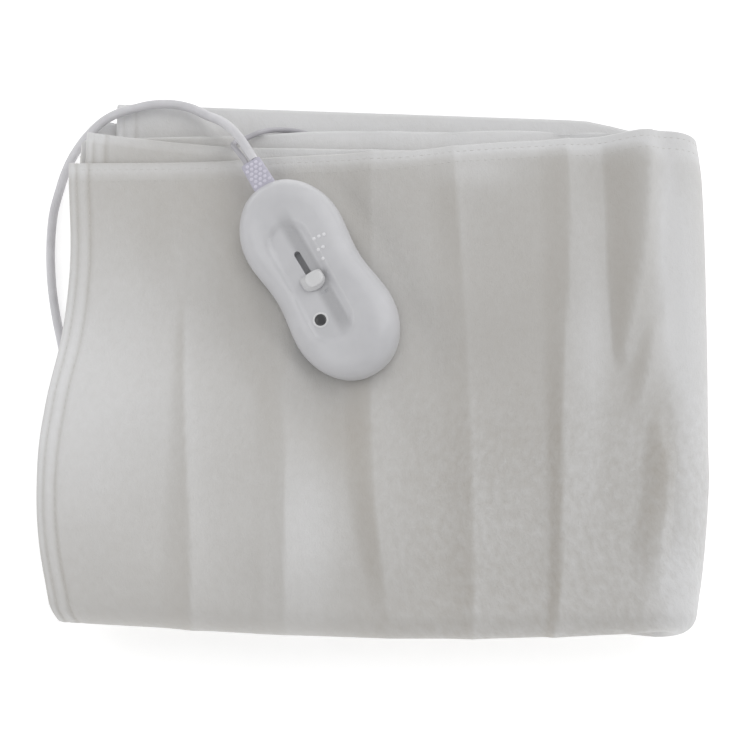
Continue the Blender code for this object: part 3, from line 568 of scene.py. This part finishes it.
# the controller's own frame: +Y towards the cords, +Z out of its face
controller = {
    "place": (-0.0283, 0.0477, 0.048), "turn": 30.3, "roll": -9,
    "length": 0.1279, "tail": 0.0356, "head": 0.0348, "waist": 0.008, "squareness": 2.25,
    "parting": 0.0118, "gap": 0.0003, "sides": 144, "crownRings": 22, "crownLine": 0.42,
    "upper": ((0.0004, 0.01195), (0, 0.0136), (0.0005, 0.017), (0.0021, 0.0205),
              (0.005, 0.0238), (0.0088, 0.026), (0.0132, 0.0271), (0.018, 0.0276)),
    "lower": ((0.01, 0), (0.006, 0.0006), (0.0026, 0.0026), (0.0008, 0.006),
              (0.0001, 0.0098), (0.0004, 0.01165)),
    "troughTail": (-0.039, -0.0066, 0.0118), "troughHead": (0.035, -0.003, 0.011),
    "troughFloor": 0.0256, "troughSoft": 0.0024, "troughSoftRight": 0.0052,
    # then where painted shade lies on the trough's right side: its tail and head, width, soft edges
    # and ends
    "troughFall": 0.0008, "troughShadeTail": (-0.043, -0.007), "troughShadeHead": (0.045, -0.005),
    "troughShadeWidth": 0.0118, "troughShadeSoft": (0.0048, 0.0036), "troughShadeEnds": (0.014, 0.018),
    "slotX": -0.0031, "slotWidth": 0.0036, "slotStart": -0.0063, "slotEnd": 0.0169,
    "slotDepth": 0.005,
    "lens": (-0.011, -0.0249), "lensRadius": 0.0033, "lensDepth": 0.0014,
}
controllerFrame = (Matrix.Translation(controller["place"])
                   @ Matrix.Rotation(radians(controller["turn"]), 4, "Z")
                   @ Matrix.Rotation(radians(controller["roll"]), 4, "Y"))
controllerUp = controllerFrame.to_3x3() @ Vector((0, 0, 1))


def along(rows, y):
    # x at y on a smooth curve through a table's rows, which run from far to near
    knots, values = np.array(rows).T / 1000
    n = np.clip(np.searchsorted(-knots, -y, side="right") - 1, 0, len(knots) - 2)
    t = np.clip((knots[n] - y) / (knots[n] - knots[n + 1]), 0, 1)
    before, after = values[np.maximum(n - 1, 0)], values[np.minimum(n + 2, len(knots) - 1)]
    return catmull(before, values[n], values[n + 1], after, t)


def turnY(row, u):
    left, middle, right, underRight, underLeft = np.array(row[3]) / 1000
    over = mix(left, right, u) + (middle - (left + right) / 2) * 4 * u * (1 - u)
    settled = mix(right, underRight, smoothStep((u - 1) / 0.15))
    return np.where(u > 1, settled + (underLeft - underRight) * (u - 1), over)


def layerRadius(layer):
    return outerRadius - (layer - 1) * pitch


def moundLift(x, y):
    total = 0
    for moundX, moundY, radius, fade, lift in np.array(mounds) / 1000:
        reach = np.hypot(x - moundX, y - moundY)
        total = total + (lift * smoothStep(1 - (reach - radius) / fade)) ** 4
    return total ** 0.25


def foldHeight(x, y, fold):
    # crisp > 0 draws the crest to a line, crisp < 0 the foot; the lip drops quickly past the crest
    rows = np.array(fold["line"])
    foot, crest, height = (along(rows[:, (0, column)], y) for column in (1, 2, 3))
    t = np.clip((x - foot) / (crest - foot), 0, 1)
    crisp, lip = fold["crisp"], fold["lip"]
    climb = mix(smoothStep(t), t ** 2 if crisp > 0 else 1 - (1 - t) ** 2, abs(crisp))
    past = np.maximum(x - crest, 0)
    fall = (1 - lip) * np.clip(1 - past / fold["run"], 0, 1) ** 2
    fall = fall + lip * np.exp(-past / blanket["lipRun"])
    return np.maximum(height, 0) * np.where(x < crest, climb, fall)


def creaseHeight(x, y):
    height = blanket["base"] + 0 * x
    for fold in folds.values():
        height = height + foldHeight(x, y, fold) * blanket["foldScale"]
    return np.maximum(height, blanket["creaseFloor"])


def outlineWidth(share):
    # the controller's half width along its length, drawn in at the waist
    width = mix(controller["tail"], controller["head"], share)
    return width - controller["waist"] * np.cos(pi * (share - 0.5)) ** 4


def seatShareAndHeight(x, y):
    # the cloth takes the plane of the controller's underside
    place = controllerFrame.translation
    z = place.z - (controllerUp.x * (x - place.x) + controllerUp.y * (y - place.y)) / controllerUp.z
    back = np.array(controllerFrame.inverted())
    localX, localY = (row[0] * x + row[1] * y + row[2] * z + row[3] for row in back[:2])
    reachX, reachY = blanket["seatReach"]
    reach = np.hypot(localX / reachX, localY / reachY)
    # the soft cloth swells up a little beside it, mostly on its lower left
    length, power = controller["length"], controller["squareness"]
    width = outlineWidth(np.clip(localY / length + 0.5, 0, 1))
    outline = np.abs(localX / width) ** power + np.abs(localY / length * 2) ** power
    beyond = outline ** (1 / power) - blanket["lapAt"]
    lap = bell(beyond, np.where(beyond > 0, blanket["lapFade"], blanket["lapReach"]))
    lap = blanket["lap"] * lap * smoothStep((blanket["lapEnd"] - localY) / 0.02)
    lap = lap * (0.6 - 0.4 * np.tanh(localX / 0.02))
    share = smoothStep((blanket["seatEnd"] - reach) / blanket["seatFade"])
    return share, z - 2 * controller["gap"], lap


def surfaceRise(x, y):
    lift = moundLift(x, y)
    share, seat, lap = seatShareAndHeight(x, y)
    creased = creaseHeight(x, y)
    rise = creased + (seat - stackTop - lift - creased) * share + lap
    return lift, np.maximum(rise, blanket["creaseFloor"])


def hemInset(layer, y, over):
    low = int(min(layer, blanket["layers"] - 1))
    above, far, near = mix(hems[low - 1], hems[low], layer - low)
    if over:
        return above
    return mix(near, far, smoothStep((y - hemTurn[1]) / (hemTurn[0] - hemTurn[1])))


def edgeSteps(total, count, edge):
    # shares of a length: close together over the rounded edge, even after it
    rest = np.linspace(edge[-1], total, count + 1)[1:]
    return list(np.array(edge) / total) + list(rest / total)


# columns across the top, the roll and the underside, and rows down each panel and round each turn
sheetGrid = {"top": 214, "roll": 16, "under": 22, "topWidth": 0.355, "underWidth": 0.34,
             "panelLength": 0.28, "panels": {1: 64, 6: 12, 5: 10, 4: 10, 3: 10, 2: 12},
             "rollBend": 14, "bend": 5,
             "edge": (0, 0.00012, 0.00045, 0.0009, 0.0015, 0.0022, 0.0031, 0.004, 0.0049,
                      0.006, 0.0074, 0.0088, 0.01, 0.011, 0.012, 0.0132, 0.015)}


def sheetStations():
    # (row, next row, share, angle, layer) down the sheet's length, close together at its two ends
    stations = []
    last = len(turns) - 2
    for n in range(len(turns) - 1):
        layer = turns[n][2]
        count = sheetGrid["panels"][layer]
        shares = list(np.linspace(0, 1, count + 1))
        edge = list(np.array(sheetGrid["edge"][:11]) / sheetGrid["panelLength"])
        if n == 0:
            shares = edge + [s for s in shares if s > edge[-1] + 0.004]
        if n == last:
            shares = [s for s in shares if s < 1 - edge[-1] - 0.02] + [1 - s for s in edge[::-1]]
        stations += [(n, n + 1, share, None, layer) for share in shares[n > 0:]]
        if n < last:
            # the turn's first row stands for the panel's last
            stations.pop()
            bends = sheetGrid["rollBend"] if turns[n + 1][0] == "nearRoll" else sheetGrid["bend"]
            stations += [(n + 1, None, k / bends, pi * k / bends, layer) for k in range(bends + 1)]
    return stations


def turnCentre(row, u):
    # Y of a turn's centre, how far it bends and to which side
    name, start, stop = row[:3]
    bend, side = (layerRadius(start) - layerRadius(stop)) / 2, -1 if "near" in name else 1
    return turnY(row, u) - side * abs(bend), bend, side


def stationPlace(station, u):
    # Y, distance from the plane between the halves, the way it faces, crease share and layer
    row, following, share, angle, layer = station
    shares = blanket["creaseShare"]
    if angle is None:
        y = mix(turnCentre(turns[row], u)[0], turnCentre(turns[following], u)[0], share)
        return y, layerRadius(layer), 0, 1, shares[layer - 1], float(layer)
    start, stop = turns[row][1:3]
    centreY, bend, side = turnCentre(turns[row], u)
    y = centreY + side * abs(bend) * sin(angle)
    r = (layerRadius(start) + layerRadius(stop)) / 2 + bend * cos(angle)
    keep = mix(shares[start - 1], shares[stop - 1], smoothStep(share))
    layer = mix(start, stop, smoothStep((share - 0.45) / 0.55))
    return y, r, side * sin(angle), cos(angle), keep, layer


def flatPoints(station, u, over):
    y, r, facingY, facingR, share, layer = stationPlace(station, u)
    axisX = along(rollAxis, y)
    tuck = blanket["cornerTuck"] * max(-facingY, 0) ** 2
    leftX = along(leftEdge if over else leftUnder, y) + hemInset(layer, y, over) + tuck
    if not over:
        x = mix(axisX, leftX, u - 1)
        # the lower far corner hangs a little
        hang = blanket["farDroop"] * smoothStep((y - blanket["hangStart"]) / blanket["hangFade"])
        hang = hang * smoothStep((0.16 - x) / 0.02) * smoothStep((layer - 2.5) / 2)
        return pointsFrom(x, y, axisZ - r - hang)
    x = mix(leftX, axisX, u)
    lift, rise = surfaceRise(x, y)
    fade = smoothStep((axisX + 0.004 - x) / blanket["rollFade"])
    rise = rise * share * mix(blanket["rollShare"], 1, fade)
    y = y + min(facingY, 0) * rise * blanket["nearShare"]
    return pointsFrom(x, y, axisZ + r + facingR * rise + lift * fade)


def rollPoints(station, angles):
    y, r, facingY, facingR, share, _ = stationPlace(station, np.ones(1))
    y = y + 0 * angles
    _, rise = surfaceRise(along(rollAxis, y), y)
    rise = rise * share * blanket["rollShare"] * np.cos(angles / 2) ** 2
    r = r + facingR * rise
    y = y + min(facingY, 0) * rise * blanket["nearShare"]
    return pointsFrom(along(rollAxis, y) + r * np.sin(angles), y, axisZ + r * np.cos(angles))


def middleSurface():
    # the sheet's middle as a grid of points: stations down its length, columns across its width
    topU = np.array(edgeSteps(sheetGrid["topWidth"], sheetGrid["top"], sheetGrid["edge"]))[:-1]
    rollAngles = np.linspace(0, pi, sheetGrid["roll"] + 1)
    underU = edgeSteps(sheetGrid["underWidth"], sheetGrid["under"], sheetGrid["edge"])
    underU = 2 - np.array(underU)[::-1][1:]
    rows = [(flatPoints(station, topU, True), rollPoints(station, rollAngles),
             flatPoints(station, underU, False)) for station in sheetStations()]
    return np.array([np.concatenate(row) for row in rows])


# ridges and stitch grooves of the turned hem: how far in, how broad, how much
hem = {
    "round": 0.0015, "sideDepth": 1, "endDepth": 0.35,
    "shape": ((0.0025, 0.0012, 0.16), (0.0046, 0.0009, -0.3), (0.0082, 0.0022, 0.2),
              (0.0116, 0.0011, -0.38)),
    # painted highlight on the hem's ridges and painted shade in its grooves, then a painted
    # highlight along the far end
    "sidePaintedShade": ((0.0026, 0.0013, 0.16), (0.0046, 0.0009, -0.15), (0.0082, 0.0022, 0.12),
                 (0.0118, 0.0012, -0.22)),
    "endPaintedHighlight": ((0.004, 0.005, 0.34),),
}


def bandsAt(distance, rows):
    return sum(amount * bell(distance - middle, reach) for middle, reach, amount in rows)


def hemThickness(distance, depth):
    edge = np.clip(distance / hem["round"], 0, 1)
    rounded = np.sqrt(np.maximum(1 - (1 - edge) ** 2, 0))
    return rounded * (1 + depth * bandsAt(distance, hem["shape"]))


def paintedLightAndShade(x, y):
    # painted light and shade, 0.5 the plain colour: far lower layers painted paler, each patch as
    # its amount says, each fold's climbing side painted darker and its falling side paler
    tone = 0.5 + blanket["farLayerPaintedLight"] * smoothStep((y - 0.119) / 0.03)
    for *patch, amount in paintedLightPatches:
        patchX, patchY, reachX, reachY = np.array(patch) / 1000
        tone = tone + amount * bell(x - patchX, reachX) * bell(y - patchY, reachY)
    nudge = 0.001
    slope = (creaseHeight(x + nudge, y) - creaseHeight(x - nudge, y)) / (2 * nudge)
    return tone - blanket["slopePaintedShade"] * np.clip(slope, -0.2, 0.5)


def napRuffle(x, y):
    # how tufted the nap is: most in the near right part, which is handled most
    return 0.42 + 0.9 * smoothStep((x + 0.03) / 0.09) * smoothStep((0.02 - y) / 0.09)


def buildBlanket():
    middle = middleSurface()
    normal = np.cross(np.gradient(middle, axis=0), np.gradient(middle, axis=1))
    normal /= np.linalg.norm(normal, axis=2, keepdims=True)
    across, down = distanceFrom(middle, 1), distanceFrom(middle, 0)
    fromSide = np.minimum(across, across[:, -1:] - across)
    fromEnd = np.minimum(down, down[-1:] - down)
    half = blanket["thickness"] / 2 * np.minimum(hemThickness(fromSide, hem["sideDepth"]),
                                                 hemThickness(fromEnd, hem["endDepth"]))
    outer, inner = middle + normal * half[..., None], middle - normal * half[..., None]
    index = np.arange(half.size).reshape(half.shape)
    rim = np.zeros(half.shape, bool)
    rim[[0, -1], :] = True
    rim[:, [0, -1]] = True
    outer[rim] = middle[rim]
    innerIndex = np.where(rim, index, index + half.size)
    faces = []
    for grid, order in ((index, 1), (innerIndex, -1)):
        quad = np.stack([grid[:-1, :-1], grid[1:, :-1], grid[1:, 1:], grid[:-1, 1:]], axis=-1)
        faces.append(quad[..., ::order].reshape(-1, 4))
    mesh = bpy.data.meshes.new("foldedBlanket")
    points = np.concatenate([outer.reshape(-1, 3), inner.reshape(-1, 3)])
    mesh.from_pydata(points.tolist(), [], np.concatenate(faces).tolist())
    shape = bmesh.new()
    shape.from_mesh(mesh)
    bmesh.ops.delete(shape, geom=[v for v in shape.verts if not v.link_faces], context="VERTS")
    shape.to_mesh(mesh)
    shape.free()

    def twice(values):
        # values of the outer side, then the same for the inner side without its rim
        return np.concatenate([values, values[~rim.ravel()]])

    clothMap = mesh.uv_layers.new(name="clothMap")
    corner = np.zeros(len(mesh.loops), int)
    mesh.loops.foreach_get("vertex_index", corner)
    flat = twice(np.stack([across, down], axis=-1).reshape(-1, 2))
    clothMap.uv.foreach_set("vector", flat[corner].ravel())
    # painted highlight and shade along the hem, added to the cloth's tone
    hemPaintedShade = bandsAt(fromSide, hem["sidePaintedShade"]) + bandsAt(fromEnd, hem["endPaintedHighlight"])
    x, y, _ = vertexPlaces(mesh)
    storeValues(mesh, "paintedLightAndShade", np.clip(paintedLightAndShade(x, y) + twice(hemPaintedShade.ravel()), 0, 1))
    storeValues(mesh, "napRuffle", napRuffle(x, y))
    mesh.shade_smooth()
    piece = finish(newObject("foldedBlanket", mesh), "fleece", ("blanket",))
    print("blanket has", len(mesh.polygons), "faces and is",
          round(float(across[:, -1].mean()), 3), "by", round(float(down[-1].mean()), 3), "m")
    return outer, across, down


clothOuter, clothAcross, clothDown = buildBlanket()

stitching = {"pitch": 0.0042, "size": (0.00034, 0.00034, 0.0026), "seams": (0.0046, 0.0116),
             "sideReach": 0.3, "cornerSkip": 8}


def pointAt(distance, measure, points):
    return [np.interp(distance, measure, points[:, k]) for k in range(3)]


def seamLines(distance):
    # the cloth's points at one distance in from its left side, and from its far end
    side = np.array([pointAt(distance, *row) for row in zip(clothAcross, clothOuter)])
    end = [pointAt(distance, clothDown[:, n], clothOuter[:, n]) for n in range(clothOuter.shape[1])]
    skip = stitching["cornerSkip"]
    return side[clothDown.mean(axis=1) < stitching["sideReach"]], end[skip:-skip]


def addStitches():
    points, edges = [], []
    for distance in stitching["seams"]:
        for line in seamLines(distance):
            first = len(points)
            points += list(line)
            edges += [(n, n + 1) for n in range(first, len(points) - 1)]
    scatter("hemStitches", points, stitching["size"], "thread", 1, None, edges,
            stitching["pitch"])


addStitches()


def shellRing(inset, z):
    unitX, unitY = unitRing(controller["sides"], 2 / controller["squareness"])
    y = (controller["length"] / 2 - inset) * unitY
    return pointsFrom((outlineWidth(y / controller["length"] + 0.5) - inset) * unitX, y, z)


def troughDepth(x, y):
    # share of the trough's full depth, with a soft shoulder all round
    tailY, tailX, tailHalf = controller["troughTail"]
    headY, headX, headHalf = controller["troughHead"]
    share = np.clip((y - tailY) / (headY - tailY), 0, 1)
    half, middle = mix(tailHalf, headHalf, share), mix(tailX, headX, share)
    corner = half * 0.96
    offX = np.abs(x - middle) - (half - corner)
    offY = np.abs(y - (tailY + headY) / 2) - ((headY - tailY) / 2 - corner)
    outside = np.hypot(np.maximum(offX, 0), np.maximum(offY, 0))
    distance = outside + np.minimum(np.maximum(offX, offY), 0) - corner
    toRight = smoothStep((x - middle) / half + 0.5)
    soft = mix(controller["troughSoft"], controller["troughSoftRight"], toRight)
    return smoothStep(0.5 - distance / soft)


def buildUpperShell():
    rings = [shellRing(inset, z) for inset, z in finerRows(controller["upper"], 3)]
    top = rings[-1]
    for k in range(1, controller["crownRings"]):
        # the crown's rings close in on a short line
        share = 1 - k / controller["crownRings"]
        rings.append(top * (share, mix(controller["crownLine"], 1, share), 1))
    for ring in rings[3:]:
        fall = controller["troughFall"] * smoothStep((ring[:, 0] + 0.002) / 0.006)
        low = np.minimum(ring[:, 2], controller["troughFloor"] - fall)
        ring[:, 2] = mix(ring[:, 2], low, troughDepth(ring[:, 0], ring[:, 1]))
    return newObject("upperShell", loftMesh("upperShell", rings))


def cutHole(piece, middle, radius, depth, straight=0, count=48, start=0):
    # a round hole down from the trough, or a long one with a straight part along Y
    x, y = (radius * unit for unit in unitRing(count, 1, start))
    y = y + np.sign(y) * straight / 2
    rings = [pointsFrom(middle[0] + x, middle[1] + y, controller["troughFloor"] + z)
             for z in (-depth, 0.004)]
    tool = newObject("holeTool", loftMesh("holeTool", rings))
    piece.modifiers.new("hole", "BOOLEAN").object = tool
    return tool


def paintTroughShade(mesh):
    # painted shade: the trough's right side is darkened in colour, where its wall lies in shade
    x, y, z = vertexPlaces(mesh)
    (tailY, tailX), (headY, headX) = controller["troughShadeTail"], controller["troughShadeHead"]
    start = mix(tailX, headX, np.clip((y - tailY) / (headY - tailY), 0, 1))
    (softLeft, softRight), (softTail, softHead) = controller["troughShadeSoft"], controller["troughShadeEnds"]
    stop = start + controller["troughShadeWidth"]
    band = smoothStep((x - start) / softLeft) * smoothStep((stop - x) / softRight)
    ends = smoothStep((y - tailY) / softTail) * smoothStep((headY - y) / softHead)
    storeValues(mesh, "troughPaintedShade", np.where(z > controller["parting"], band * ends, 0))


def controllerPiece(name, rings, slotName, finishName, replaced=(), body="warmer", **lofting):
    mesh = loftMesh(name, rings, **lofting)
    mesh.transform(controllerFrame)
    finish(newObject(name, mesh), finishName, replaced, body)


def buildController():
    upper = buildUpperShell()
    width, start, end = controller["slotWidth"], controller["slotStart"], controller["slotEnd"]
    slot = cutHole(upper, (controller["slotX"], (start + end) / 2), width / 2,
                   controller["slotDepth"], end - start - width, 32, 0.5)
    window = cutHole(upper, controller["lens"], controller["lensRadius"] + controller["gap"],
                     controller["lensDepth"])
    upper = settle(upper)
    for tool in (slot, window):
        bpy.data.objects.remove(tool, do_unlink=True)
    paintTroughShade(upper.data)
    upper.data.transform(controllerFrame)
    smoothMesh(upper.data, 40)
    finish(upper, "face", ("housing_upper",))
    rings = [shellRing(inset, z) for inset, z in finerRows(controller["lower"], 3)]
    controllerPiece("lowerShell", rings, "shell", "shell", ("housing_lower",))
    return BVHTree.FromPolygons([v.co.copy() for v in upper.data.vertices],
                                [tuple(p.vertices) for p in upper.data.polygons])


details = {
    "bezelOuter": 0.0047, "bezelInner": 0.0034, "bezelHeight": 0.00035,
    "dotSize": (0.0021, 0.0021, 0.000945), "dotLift": 0.00002,
    # x, y: the marks grow in number towards the hot end
    "dots": ((0.0083, 0.0046), (0.0086, 0.0104), (0.0116, 0.0104), (0.0096, 0.0172),
             (0.0127, 0.017), (0.0158, 0.0166)),
    "offMark": (-0.0012, -0.0122), "offSize": 0.003, "offDepth": 0.00008, "offLift": 0.00006,
}


def shellHeight(x, y):
    # height of the finished face over a point of the controller
    hits = upperTree.ray_cast(controllerFrame @ Vector((x, y, 0.04)), -controllerUp)
    return (controllerFrame.inverted() @ hits[0]).z


def addMarks():
    dots = [(x, y, shellHeight(x, y) + details["dotLift"]) for x, y in details["dots"]]
    scatter("scaleDots", dots, details["dotSize"], "dot", place=controllerFrame)
    text = bpy.data.curves.new("offMark", "FONT")
    text.body = "OFF"
    text.size = details["offSize"]
    text.extrude = details["offDepth"]
    text.align_x = text.align_y = "CENTER"
    x, y = details["offMark"]
    place = Matrix.Translation((x, y, shellHeight(x, y) + details["offLift"]))
    mark = settle(newObject("offMark", text), controllerFrame @ place)
    finish(mark, "mark")


def addBezel():
    (x, y), height, rise = controller["lens"], controller["troughFloor"], details["bezelHeight"]
    outer, inner = details["bezelOuter"], details["bezelInner"]
    section = ((inner, -0.0008), (inner, rise * 0.6), (inner + 0.00025, rise),
               (mix(inner, outer, 0.6), rise), (outer - 0.0002, rise * 0.6), (outer, -0.0004))
    unitX, unitY = unitRing(64)
    rings = [pointsFrom(x + reach * unitX, y + reach * unitY, height + z) for reach, z in section]
    controllerPiece("lensBezel", rings, "shell", "bezel", closed=True)


knobCap = {
    "middle": (-0.0019, -0.0034), "squareness": 2.4,
    # z, half width, half length
    "sections": ((0.0288, 0.0051, 0.0043), (0.0297, 0.0051, 0.0043), (0.03, 0.0048, 0.004),
                 (0.0303, 0.004, 0.0032), (0.03045, 0.0026, 0.002)),
}


def addKnobCap():
    # the slider's finger pad, a little off to its right
    (middleX, middleY), (unitX, unitY) = knobCap["middle"], unitRing(48, 2 / knobCap["squareness"])
    rings = [pointsFrom(middleX + halfX * unitX, middleY + halfY * unitY, z)
             for z, halfX, halfY in knobCap["sections"]]
    controllerPiece("knobCap", rings, "knob", "knobCap", body="slider", sharpAngle=40)


relief = {
    "middle": (0.0012, 0.0115), "halfWidth": 0.0067, "halfHeight": 0.0042,
    # y, width share, height share
    "sections": ((0.0602, 0.96, 0.96), (0.0606, 1, 1), (0.065, 1, 1), (0.073, 0.96, 0.9),
                 (0.0804, 0.92, 0.8), (0.0812, 0.89, 0.75), (0.0815, 0.8, 0.62)),
    "padStart": 0.066, "padStep": 0.0026, "padRows": 6, "padColumns": 4, "padPitch": 0.0031,
    "padSize": (0.0022, 0.002, 0.0008),
}


def addRelief():
    (middleX, middleZ), (unitX, unitZ) = relief["middle"], unitRing(64, 0.4, 0.5)
    halfWidth, halfHeight = relief["halfWidth"], relief["halfHeight"]
    sections = np.array(relief["sections"])
    rings = [pointsFrom(middleX + halfWidth * wide * unitX, y, middleZ + halfHeight * high * unitZ)
             for y, wide, high in sections]
    controllerPiece("reliefSleeve", rings, "relief", "relief", ("cord_relief",))
    points = []
    for row in range(relief["padRows"]):
        y = relief["padStart"] + relief["padStep"] * row
        wide, high = (np.interp(y, sections[:, 0], sections[:, k]) for k in (1, 2))
        count = relief["padColumns"] - row % 2
        for column in range(count):
            across = (column - (count - 1) / 2) * relief["padPitch"] * wide
            rise = halfHeight * high * (1 - abs(across / (halfWidth * wide)) ** 5) ** 0.2
            points += [(middleX + across, y, z) for z in (middleZ - rise, middleZ + rise)]
    scatter("reliefPads", points, relief["padSize"], "pad", place=controllerFrame)


upperTree = buildController()
addMarks()
addBezel()
addKnobCap()
addRelief()
print("controller built")

nodeFinishes = {"slide_knob": "knob", "indicator_lens": "lens", "plug_body": "plug",
                "plug_blade_left": "blade", "plug_blade_right": "blade", "lead_boot": "lead"}
for node, finishName in nodeFinishes.items():
    paint(nodes[node], finishName)

bpy.context.scene.view_settings.view_transform = "Standard"


def addFloor():
    mesh = bpy.data.meshes.new("studioFloor")
    mesh.from_pydata([(-4, -4, 0), (4, -4, 0), (4, 4, 0), (-4, 4, 0)], [], [range(4)])
    floor = newObject("studioFloor", mesh)
    floor.location.z = -0.0002
    paint(floor, "floor")


# where each soft light stands, how wide it is and how strong
lights = {
    "rightWindow": {"at": (2.3, 2.2, 2.7), "size": 4.8, "power": 86},
    "leftLamp": {"at": (-0.42, 0.02, 0.4), "size": 0.3, "power": 0.36},
    "frontFill": {"at": (-1.5, -2.3, 2.4), "size": 3, "power": 22},
}
skyShade = {"horizon": 0.74, "zenith": 0.382}


def addLights():
    for name, light in lights.items():
        data = bpy.data.lights.new(name, "AREA")
        data.size = light["size"]
        data.energy = light["power"]
        lamp = newObject(name, data)
        lamp.location = light["at"]
        toStack = Vector(camera["aim"]) - lamp.location
        lamp.rotation_euler = toStack.to_track_quat("-Z", "Y").to_euler()
        lamp.visible_camera = False


def addSky():
    # a pale tent: bright around the table, dimmer overhead
    world = bpy.data.worlds.new("studio")
    bpy.context.scene.world = world
    world.use_nodes = True
    tree = world.node_tree
    around = addNode(tree, "ShaderNodeTexCoord", {}, "Generated")
    height = addNode(tree, "ShaderNodeSeparateXYZ", {"Vector": around}, "Z")
    low, high = skyShade["horizon"], skyShade["zenith"]
    stops = ((0, low), (0.5, mix(high, low, 0.25)), (1, high))
    shade = colourRamp(tree, height, [(at, (bright,) * 3) for at, bright in stops])
    setInputs(tree, tree.nodes["Background"], {"Color": shade})


addFloor()
addSky()
addLights()
print("lights placed")

bpy.context.view_layer.update()
